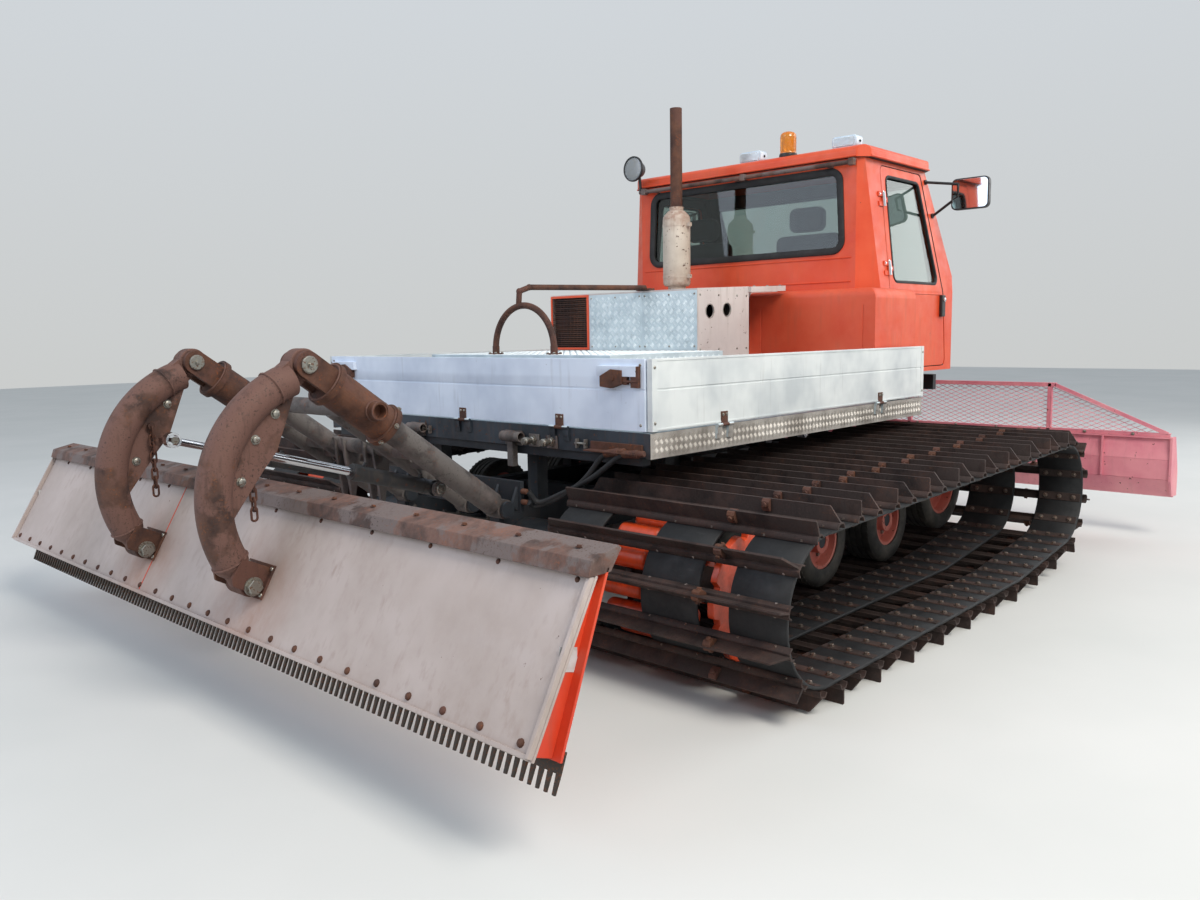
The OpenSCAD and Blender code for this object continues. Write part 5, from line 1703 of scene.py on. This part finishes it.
@dataclass
class Lamps(Assembly):
    """Beacon, roof lamps, head lamps, the work lamp and the tube that carries it."""

    beacon_at: Triple = (2520.0, -330.0, 2545.5)
    roof_lamps_y: Pair = (-60.0, -760.0)
    head_lamps_y: Pair = (560.0, 740.0)
    clamps_y: Triple = (-860.0, -60.0, 806.0)

    def build(self) -> None:
        """Turns the beacon and breaks the lamp shells' edges."""
        refine("lamps", Paint.LAMP_SHELL, self.body, 6.0)
        rail = refine("gutter_lamp", Paint.BLACK_ABS, self.body, 2.0)
        repaint(rail, Paint.ANGLE, lambda centre, normal: centre.z < 2.47)
        base, dome = Shape(), Shape()
        at = spot(*self.beacon_at)
        base.lathe([(0, 0.3), (59, 0.3), (60, 4), (58, 24), (54, 28), (0, 28)], at, UP, 48)
        base.build("beacon_base", Paint.BLACK_ABS, self.body)
        clamps = Shape()
        for y in self.clamps_y:
            clamps.box(2377, 2413, y - 18, y + 18, 2419, 2461)
        clamps.build("rail_clamps", Paint.ANGLE, self.body, 2.5)
        rings = [(54, 28), (54, 31)]
        for k in range(13):
            rings += [(53.5, 34 + k * 8), (51.6, 38 + k * 8)]
        rings += [(52, 140), (48, 152), (38, 162), (20, 168), (0, 169)]
        dome.lathe(rings, at, UP, 48)
        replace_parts(dome.build("beacon_dome", Paint.AMBER, self.body, 0, 50), "beacon")

    def dress(self) -> None:
        """Adds lenses, bezels and screws."""
        lens, bezel = Shape(), Shape()
        for y in self.roof_lamps_y:
            plate = rounded([(y - 74, 2557), (y + 74, 2557), (y + 74, 2609), (y - 74, 2609)], 14)
            lens.prism([spot(2473.6, a, b) for a, b in plate], Vector((-0.005, 0, 0)))
            for s in (-1, 1):
                bezel.bolt(spot(2520, y + s * 86, 2583), Vector((0, s, 0)), 12)
        for s in (-1, 1):
            for y in self.head_lamps_y:
                at = spot(3785.2, y * s, 1340)
                lens.lathe([(70, 0), (66, 5), (45, 10), (20, 13), (0, 14)], at, AHEAD, 40)
                bezel.lathe([(79, -6), (80, 4), (72, 7), (70, 0)], at, AHEAD, 40)
        lamp = spot(2309.6, 840, 2600)
        lens.lathe([(80, 0), (70, 2), (45, 4.5), (0, 6)], lamp, BACK, 40)
        bezel.lathe([(80, 0), (80, 5), (88, 6), (90, 2), (90, -8), (86, -10)], lamp, BACK, 40)
        lens.build("lamp_lenses", Paint.LENS, self.body)
        bezel.build("lamp_bezels", Paint.BLACK_ABS, self.body)


@dataclass(frozen=True)
class PlateLine:
    """The smoother board's rear plate seen from the side, from its top to its lower edge."""

    top: Pair = (-1250, 775)
    low: Pair = (-1500, 335)

    @property
    def down(self) -> Vector:
        """Unit direction down the plate."""
        return Vector((self.low[0] - self.top[0], 0, self.low[1] - self.top[1])).normalized()

    @property
    def out(self) -> Vector:
        """Unit direction away from the plate, to the rear."""
        return Vector((self.down.z, 0, -self.down.x))

    def point(self, s: float, o: float) -> Pair:
        """Station and height s down the plate and o out from its middle."""
        down, out = self.down, self.out
        return self.top[0] + down.x * s + out.x * o, self.top[1] + down.z * s + out.z * o


@dataclass
class RearLift(Assembly):
    """Rear lift frame with its gooseneck arms, cylinders, chains and hoses."""

    pivot: Pair = (-200, 620)
    clevis: Pair = (-1170, 1320)
    arm_y: float = 480.0
    tilt_base: Pair = (-480, 740)
    tilt_eye: Pair = (-1330, 990)
    lift_base: Pair = (100, 440)
    lift_eye: Pair = (-620, 620)
    neck: Pair = (-1074, 818)
    neck_r: float = 470.0
    tube_r: float = 65.0
    foot: Pair = (-1450, 520)
    chain_top: Pair = (-1375, 1050)
    plate: PlateLine = PlateLine()

    def build(self) -> None:
        """Breaks the weldments' edges, bends the goosenecks and gives cylinders their enamel and chrome."""
        frame = refine("rear_lift_frame", Paint.TUBE, "lift_frame", 1.5)
        start, way, limit = spot(self.pivot[0], 0, self.pivot[1]), self.way, (self.reach - 465) * MM
        repaint(frame, Paint.RUST,
                lambda centre, normal: (centre - start).dot(way) > limit and abs(centre.y) > 0.38)
        self.goosenecks()
        for kind in ("lift", "tilt"):
            refine(f"{kind}_barrels", Paint.BLACK_BARREL, f"{kind}_barrel", 1.5)
            refine(f"{kind}_rods", Paint.CHROME, f"{kind}_rod", 1.0)

    def along(self, s: float) -> Pair:
        """Station and height s along the lift frame's tubes."""
        dx, dz = self.clevis[0] - self.pivot[0], self.clevis[1] - self.pivot[1]
        return self.pivot[0] + dx / self.reach * s, self.pivot[1] + dz / self.reach * s

    @property
    def way(self) -> Vector:
        """Unit direction along the lift frame's tubes."""
        return Vector((self.clevis[0] - self.pivot[0], 0, self.clevis[1] - self.pivot[1])).normalized()

    @property
    def reach(self) -> float:
        """Length of the lift frame from pivot to clevis."""
        return hypot(self.clevis[0] - self.pivot[0], self.clevis[1] - self.pivot[1])

    def dress(self) -> None:
        """Adds pin heads, bolts, weld beads, gland nuts, chains and hoses."""
        pins, welds = Shape(), Shape()
        way = self.way
        for side in Side:
            s, out = side.value, side.out
            for (x, z), y, r in ((self.clevis, 542, 34), (self.clevis, 418, 34), (self.tilt_base, 411, 24),
                                 (self.lift_eye, 165, 20)):
                turned = out if y > 430 or r < 30 else -out
                pins.lathe([(0, 0), (r, 0), (r, 9), (r - 4, 13), (0, 13)], spot(x, y * s, z), turned, 24)
                pins.bolt(spot(x, (y + 13 * (1 if turned == out else -1)) * s, z), turned, 18)
            for step in (-460, -434, -150, -124):
                x, z = self.along(self.reach + step)
                self.bead(welds, spot(x, self.arm_y * s, z), way, 80)
            x, z = self.along(self.reach - 447)
            for c, q in circle(6):
                side_way = LEFTWARD * c + way.cross(LEFTWARD) * q
                pins.bolt(spot(x, self.arm_y * s, z) + side_way * 0.0915, side_way, 16)
            x, z = self.along(self.reach - 330)
            welds.lathe([(28.3, 0), (38, 0), (39, 3), (36, 6), (36, -4)], spot(x, 597 * s, z), out, 32)
            self.bead(welds, spot(x, 560 * s, z), out, 38)
        pins.build("frame_pins", Paint.ZINC, "lift_frame")
        welds.build("frame_welds", Paint.ARM, "lift_frame")
        self.neck_fittings()
        self.glands()
        self.chains()
        self.hoses()

    @staticmethod
    def bead(shape: Shape, at: Vector, axis: Vector, radius: float) -> None:
        """Lays a weld bead round a tube, with its ripples.

        Args:
            shape: The shape that takes it.
            at: The middle of the bead's circle.
            axis: The tube's direction.
            radius: The tube's radius in millimetres.
        """
        side = axis.orthogonal().normalized()
        other = axis.cross(side)
        path = [at + (side * c + other * s) * (radius + 1.2 * (k % 2)) * MM
                for k, (c, s) in enumerate(circle(60))]
        shape.sweep(path, 4.5, 6, closed=True)

    def on_bend(self, degrees: float, radius: float) -> Pair:
        """Station and height at an angle round the bend's middle."""
        t = radians(degrees)
        return self.neck[0] + radius * cos(t), self.neck[1] + radius * sin(t)

    def goosenecks(self) -> None:
        """Builds both goosenecks: bent tube, clevis boss and strap, web, and a foot of two cheek plates."""
        arm, foot = Shape(), Shape()
        cx, cz = self.clevis
        for side in Side:
            y = self.arm_y * side.value
            bend = [self.on_bend(108 + 98 * k / 40, self.neck_r) for k in range(41)]
            arm.sweep([spot(x, y, z) for x, z in bend], self.tube_r, 36)
            t = radians(206)
            x, z = bend[-1]
            tail = [(self.tube_r, -1), (self.tube_r, 12), (60, 26), (48, 44), (45, 60), (45, 86), (0, 86)]
            arm.lathe(tail, spot(x, y, z), Vector((-sin(t), 0, cos(t))), 36)
            boss = [(20.2, -34), (20.2, 34), (58, 34), (62, 30), (62, -30), (58, -34)]
            arm.lathe(boss, spot(cx, y, cz), LEFTWARD, 40, True)
            ex, ez = self.on_bend(115, self.neck_r)
            n = Vector((ez - cz, cx - ex)).normalized() * 50
            away = Vector((ex - cx, ez - cz)).normalized() * 40
            strap = [(cx + away.x + n.x, cz + away.y + n.y), (ex + n.x, ez + n.y)]
            strap += [(ex - n.x, ez - n.y), (cx + away.x - n.x, cz + away.y - n.y)]
            arm.section(strap, y - 30, y + 30)
            tx, tz = self.tilt_eye
            web = [self.on_bend(a, self.neck_r - 20) for a in range(112, 194, 9)]
            web += [(tx - 20, tz - 60), (tx + 40, tz + 10), (cx - 10, cz - 40)]
            arm.section(web, y - 10, y + 10)
            arm.rod(spot(tx, 325 * side.value, tz), spot(tx, y, tz), 9)
            base = [self.plate.point(s, o) for s, o in ((224, 5.4), (357, 5.4), (357, 14), (224, 14))]
            foot.section(base, y - 96, y + 96)
            cheek = [(236, 8), (345, 8), (345, 122), (322, 138), (240, 130)]
            cheek = rounded([self.plate.point(s, o) for s, o in cheek], 13, 5)
            for inner in (-75, 61):
                foot.section(cheek, y + inner, y + inner + 14)
            hub = [(22, -60), (38, -60), (42, -56), (42, 56), (38, 60), (22, 60)]
            foot.lathe(hub, spot(self.foot[0], y, self.foot[1]), LEFTWARD, 36, True)
            foot.rod(spot(self.foot[0], y - 92, self.foot[1]), spot(self.foot[0], y + 92, self.foot[1]), 22,
                     24)
        tubes = arm.build("gooseneck_tubes", Paint.ARM, "smoother", 2.0)
        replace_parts(tubes, "gooseneck_arms")
        feet = foot.build("gooseneck_feet", Paint.RUST, "smoother", 1.5)
        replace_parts(feet, "gooseneck_arms")

    def neck_fittings(self) -> None:
        """Adds the goosenecks' bolts, pin washers, dome heads and weld beads."""
        bolts, welds = Shape(), Shape()
        for side in Side:
            s = side.value
            for x, z in ((-1375, 1050), (-1290, 1140), (-1440, 900)):
                for y, turned in ((self.arm_y + 10, s), (self.arm_y - 10, -s)):
                    if (x, y) != (-1375, self.arm_y - 10):
                        bolts.bolt(spot(x, y * s, z), Vector((0, turned, 0)), 26)
            fx, fz = self.foot
            for y, turned in ((self.arm_y + 75, s), (self.arm_y - 75, -s)):
                axis = Vector((0, turned, 0))
                bolts.lathe([(0, -1), (36, -1), (36, 4), (0, 4)], spot(fx, y * s, fz), axis, 28)
                bolts.lathe([(0, 4), (30, 4), (30, 20), (27, 23), (0, 23)], spot(fx, y * s, fz), axis, 6)
            for step in (240, 341):
                for dy in (-86, 86):
                    x, z = self.plate.point(step, 14)
                    bolts.dome(spot(x, (self.arm_y + dy) * s, z), self.plate.out, 9, 6)
            bolts.lathe([(0, 0), (16, 0), (16, 8), (0, 8)],
                        spot(self.tilt_eye[0], 324 * s, self.tilt_eye[1]), -side.out, 20)
            for a in (118, 206):
                t = radians(a)
                x, z = self.on_bend(a, self.neck_r)
                self.bead(welds, spot(x, self.arm_y * s, z), Vector((-sin(t), 0, cos(t))), self.tube_r + 1)
        bolts.build("neck_bolts", Paint.ZINC, "smoother")
        welds.build("neck_welds", Paint.ARM, "smoother")

    def glands(self) -> None:
        """Adds the gland nuts and ports of the rear cylinders."""
        for name, base, eye, y, length in (("lift", self.lift_base, self.lift_eye, 120, 420),
                                           ("tilt", self.tilt_base, self.tilt_eye, 350, 430)):
            cylinder_fittings(name, base, eye, y, length, 34)

    def chains(self) -> None:
        """Links the two short chains that hang from the goosenecks' webs."""
        links = Shape()
        for side in Side:
            s = side.value
            x, z = self.chain_top
            for k in range(8):
                centre = spot(x, 446 * s, z - 26 - k * 37)
                flat = AHEAD if k % 2 else LEFTWARD
                path = [centre + (flat * 12 * c + UP * ((14 if q > 0 else -14) + 12 * q)) * MM
                        for c, q in circle(20)]
                links.sweep(path, 4.6, 8, closed=True)
            links.lathe([(0, 0), (16, 0), (16, 14), (0, 14)], spot(x, 456 * s, z), -side.out, 6)
            links.rod(spot(x, 470 * s, z), spot(x, 440 * s, z), 8)
        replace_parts(links.build("chain_links", Paint.RUST, "smoother"), "chains")

    def hoses(self) -> None:
        """Runs the two hydraulic hoses from their couplings to the rear plate, with ferrules."""
        hose, metal = Shape(), Shape()
        for k in (0, 1):
            points = [(-36, -1180 + k * 108, 908), (-38, -1100 + k * 100, 893 - k * 6),
                      (-50, -935 + k * 50, 782 - k * 16), (-62, -742 + k * 16, 690 - k * 20),
                      (-90, -640 + k * 26, 650 - k * 20), (-129, -612, 700 - k * 50)]
            path = smooth_path([spot(*p) for p in points], 8)
            hose.sweep(path, 12.5, 16)
            ahead = (path[0] - path[2]).normalized()
            sleeve = [(0, -62), (16, -62), (17, -58), (17, -6), (15, 0), (19, 2), (19, 22), (14, 24),
                      (14, 52), (11, 56), (0, 56)]
            metal.lathe(sleeve, path[0], ahead, 24)
            metal.lathe([(0, 0), (13, 0), (13, 30), (10, 34), (0, 34)], spot(-129, -570.4, 700 - k * 50),
                        RIGHTWARD, 24)
        metal.box(-60, -10, -1200, -900, 905, 911)
        metal.box(-12, -0.4, -1200, -900, 895, 945)
        piece = hose.build("hydraulic_hoses", Paint.HOSE, self.body)
        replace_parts(piece, "hoses")
        metal.build("hose_couplings", Paint.RUST, self.body, 1.0)


def smooth_path(points: Line, steps: int) -> list[Vector]:
    """Runs a smooth curve through points.

    Args:
        points: The points that it passes.
        steps: Pieces between two of them.

    Returns:
        The curve's points.
    """
    ends = [points[0] * 2 - points[1], *points, points[-1] * 2 - points[-2]]
    path = []
    for i in range(1, len(ends) - 2):
        a, b, c, d = ends[i - 1 : i + 3]
        for k in range(steps):
            t = k / steps
            bend, twist = a * 2 - b * 5 + c * 4 - d, b * 3 - a - c * 3 + d
            path.append(0.5 * (b * 2 + (c - a) * t + bend * t**2 + twist * t**3))
    return [*path, points[-1]]


def cylinder_fittings(name: str, base: Pair, eye: Pair, y: float, length: float, radius: float) -> None:
    """Adds a hydraulic cylinder's gland nut, a band and two ports, on both sides.

    Args:
        name: The cylinder's name, which its bodies start with.
        base: Station and height of its base pin.
        eye: Station and height of its rod's eye.
        y: Its distance from the centre plane.
        length: Length of its barrel from the base pin.
        radius: Radius of its barrel.
    """
    fittings = Shape()
    way = Vector((eye[0] - base[0], 0, eye[1] - base[1])).normalized()
    across = LEFTWARD.cross(way).normalized()
    for side in Side:
        start = spot(base[0], y * side.value, base[1])
        fittings.lathe([(18.3, length - 40), (radius + 3, length - 40), (radius + 3, length - 6),
                        (radius - 4, length), (18.3, length)], start, way, 32, True)
        fittings.lathe([(radius, 40), (radius + 2.5, 40), (radius + 2.5, 60), (radius, 60)], start, way, 32,
                       True)
        for reach in (74, length - 62):
            port = start + way * reach * MM + across * (radius - 3) * MM
            fittings.lathe([(11, 0), (11, 12), (8, 13), (8, 20), (0, 20)], port, across, 16)
    fittings.build(f"{name}_cylinder_fittings", Paint.BLACK_BARREL, f"{name}_barrel", 0.8)


@dataclass
class SmootherBoard(Assembly):
    """Rear board: a taupe plate, an orange inner plate, a rusty top angle and the comb below."""

    half_w: float = 2100.0
    plate: PlateLine = PlateLine()
    inner_top: Pair = (-1205, 790)
    inner_low: Pair = (-1400, 300)
    seam_y: float = 400.0
    body: ClassVar[str] = "smoother"

    def strip(self, a: Pair, b: Pair, thick: float) -> Outline:
        """Draws a plate seen from its edge.

        Args:
            a: Its top.
            b: Its lower edge.
            thick: Its thickness in millimetres.

        Returns:
            The plate's outline.
        """
        dx, dz = b[0] - a[0], b[1] - a[1]
        length = hypot(dx, dz)
        nx, nz = -dz / length * thick / 2, dx / length * thick / 2
        return [(a[0] + nx, a[1] + nz), (b[0] + nx, b[1] + nz), (b[0] - nx, b[1] - nz),
                (a[0] - nx, a[1] - nz)]

    def build(self) -> None:
        """Makes the plates, the ribs between them and the top angle, and refines the comb."""
        plate, inner, angle = Shape(), Shape(), Shape()
        w = self.half_w
        top, low = self.plate.top, self.plate.low
        plate.section(self.strip(top, low, 10), -w, w)
        inner.section(self.strip(self.inner_top, self.inner_low, 10), -w, w)
        for i in range(7):
            y = -w + 30 + i * (2 * w - 72) / 6
            web = [top, (low[0] + 4, low[1] + 6), (self.inner_low[0] - 4, self.inner_low[1] + 6),
                   self.inner_top]
            inner.section(web, y, y + 12)
        angle.section([(-1285, 775), (-1195, 775), (-1150, 835), (-1162, 845), (-1270, 820)], -w, w)
        piece = plate.build("board_plate", Paint.BOARD, self.body, 2.5)
        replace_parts(piece, "smoother_board")
        inner.build("board_inner_plate", Paint.BOARD_INSIDE, self.body, 2.0)
        angle.build("board_top_angle", Paint.ANGLE, self.body, 2.5)
        refine("comb", Paint.TINE, self.body, 0.8)

    def dress(self) -> None:
        """Adds edge bolts, flanges, the seam, a tape patch and the angle's bolts."""
        out, at = self.plate.out, self.plate.point
        bolts, strips, seam, tape = Shape(), Shape(), Shape(), Shape()
        for k in range(26):
            y = -self.half_w + 60 + k * (2 * self.half_w - 120) / 25
            x, z = at(470, 5)
            bolts.dome(spot(x, y, z), out, 13, 9)
            x, z = at(22, 5)
            if k % 2 == 0:
                bolts.dome(spot(x, y, z), out, 9, 6)
        for y in (-self.half_w + 2, self.half_w - 14):
            strips.section([at(s, o) for s, o in ((8, 5), (500, 5), (500, 24), (8, 24))], y, y + 12)
        strips.section([at(s, o) for s, o in ((490, 5), (504, 5), (504, 17), (490, 17))], -self.half_w + 14,
                       self.half_w - 14)
        strips.build("board_flanges", Paint.BOARD, self.body, 1.5)
        seam.section([at(s, o) for s, o in ((10, 4.6), (488, 4.6), (488, 6.2), (10, 6.2))], self.seam_y - 3,
                     self.seam_y + 3)
        seam.build("board_seam", Paint.BOARD_INSIDE, self.body)
        for side in Side:
            y = (self.half_w - 29.4) * side.value
            patch = [(-1370, 603), (-1303, 585), (-1305, 516), (-1372, 535)]
            tape.prism([spot(x, y, z) for x, z in patch], Vector((0, side.value * 0.7 * MM, 0)))
        tape.build("board_tape_patches", Paint.TAPE, self.body)
        for y in range(-2000, 2001, 250):
            bolts.bolt(spot(-1216, y, 833), Vector((0.2, 0, 1)), 15)
        bolts.build("board_bolts", Paint.RUST, self.body)


@dataclass
class FrontBlade(Assembly):
    """Push frame, blade, its guard of expanded metal and the lift cylinders."""

    blade_x: float = 3985.0
    base_z: float = 685.5
    guard_w: float = 2320.0
    guard_flat: float = 1600.0
    guard_h: float = 340.0
    bar_y: tuple[float, ...] = (-1560, -530, 530, 1560)
    lift_base: Pair = (3300, 920)
    lift_eye: Pair = (3720, 520)
    body: ClassVar[str] = "push_frame"

    def build(self) -> None:
        """Breaks the blade's edges and makes the guard anew."""
        refine("front_lift_frame", Paint.BLACK_FRAME, self.body, 2.0)
        refine("front_blade", Paint.BLADE, self.body, 2.0)
        refine("blade_barrels", Paint.BLACK_BARREL, "blade_barrel", 1.5)
        refine("blade_rods", Paint.CHROME, "blade_rod", 1.0)
        guard = Shape()
        x0 = self.blade_x - 6
        top, flat, wide = self.guard_h, self.guard_flat, self.guard_w
        bars = [((-wide, 12), (wide, 12), 24), ((-flat, top - 14), (flat, top - 14), 28)]
        bars += [((s * (flat - 8), top - 13), (s * (wide - 14), 20), 26) for s in (-1, 1)]
        bars += [((y, 4), (y, top - 4), 28) for y in self.bar_y]
        for (ya, za), (yb, zb), t in bars:
            long = Vector((yb - ya, zb - za)).normalized()
            n = Vector((-long.y, long.x)) * t / 2
            corners = [(ya + n.x, za + n.y), (yb + n.x, zb + n.y), (yb - n.x, zb - n.y), (ya - n.x, za - n.y)]
            guard.prism([spot(x0 + 1, y, self.base_z + z) for y, z in corners], Vector((0.006, 0, 0)))
            lip = [(ya + n.x, za + n.y), (yb + n.x, zb + n.y), (yb + n.x * 0.6, zb + n.y * 0.6),
                   (ya + n.x * 0.6, za + n.y * 0.6)]
            guard.prism([spot(x0, y, self.base_z + z) for y, z in lip], Vector((0.032, 0, 0)))
        piece = guard.build("guard_frame", Paint.BLADE, self.body, 1.2)
        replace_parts(piece, "blade_guard")

    def dress(self) -> None:
        """Adds the expanded metal, the cutting edge, bolts and cylinder fittings."""
        mesh = Shape()
        half_y, half_z = 34.0, 14.5
        rows, columns = 20, int(self.guard_w / half_y)
        x = self.blade_x + 14
        for i in range(-columns, columns):
            for j in range(rows):
                up = (i + j) % 2 == 0
                y0, y1 = i * half_y, (i + 1) * half_y
                z0, z1 = 24 + (j + (0 if up else 1)) * half_z, 24 + (j + (1 if up else 0)) * half_z
                limit = self.guard_w - 26 - (max(z0, z1) - 16) * (self.guard_w - self.guard_flat) / 310
                if max(abs(y0), abs(y1)) > limit or max(z0, z1) > 318:
                    continue
                a, b = spot(x, y0, self.base_z + z0), spot(x, y1, self.base_z + z1)
                side = Vector((0, 0, 1.9 * MM))
                lean = Vector((2.6 * MM if up else 1.4 * MM, 0, 0))
                mesh.add([a - side, b - side, b + side + lean, a + side + lean, a - side + lean,
                          b - side + lean],
                         [(0, 1, 2, 3), (4, 3, 2, 5), (0, 4, 5, 1)])
        mesh.build("guard_expanded_metal", Paint.BLADE, self.body)
        edge, bolts = Shape(), Shape()
        low = [(self.blade_x + 70, 285.5), (self.blade_x + 64, 300), (self.blade_x + 20, 372),
               (self.blade_x + 30, 378), (self.blade_x + 76, 300)]
        edge.section(low, -2300, 2300)
        edge.build("cutting_edge", Paint.RUST, self.body, 1.5)
        for k in range(24):
            y = -2250 + k * 4500 / 23
            bolts.dome(spot(self.blade_x + 52, y, 338), Vector((0.84, 0, 0.54)), 12, 6)
        for y in range(-2100, 2101, 300):
            bolts.bolt(spot(self.blade_x - 8, y, self.base_z + 12), BACK, 15)
        for y in (-440, -150, 150, 440):
            for z in (430, 530):
                bolts.bolt(spot(self.blade_x - 60, y, z), BACK, 24)
        bolts.build("blade_bolts", Paint.ZINC, self.body)
        cylinder_fittings("blade", self.lift_base, self.lift_eye, 190, 330, 32)


ASSEMBLIES: list[Assembly] = [
    Chassis(),
    BeltTrack(Side.RIGHT, Loop()),
    BeltTrack(Side.LEFT, Loop()),
    RunningGear(),
    LoadBed(),
    DeckGear(),
    Cabin(),
    Lamps(),
    RearLift(),
    SmootherBoard(),
    FrontBlade(),
]


def main() -> None:
    """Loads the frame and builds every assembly."""
    logging.basicConfig(level=logging.INFO, format="%(name)s: %(message)s")
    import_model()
    Studio().set_up()
    for assembly in ASSEMBLIES:
        LOG.info("building %s", type(assembly).__name__)
        assembly.build()
        assembly.dress()


if __name__ == "__main__":
    main()
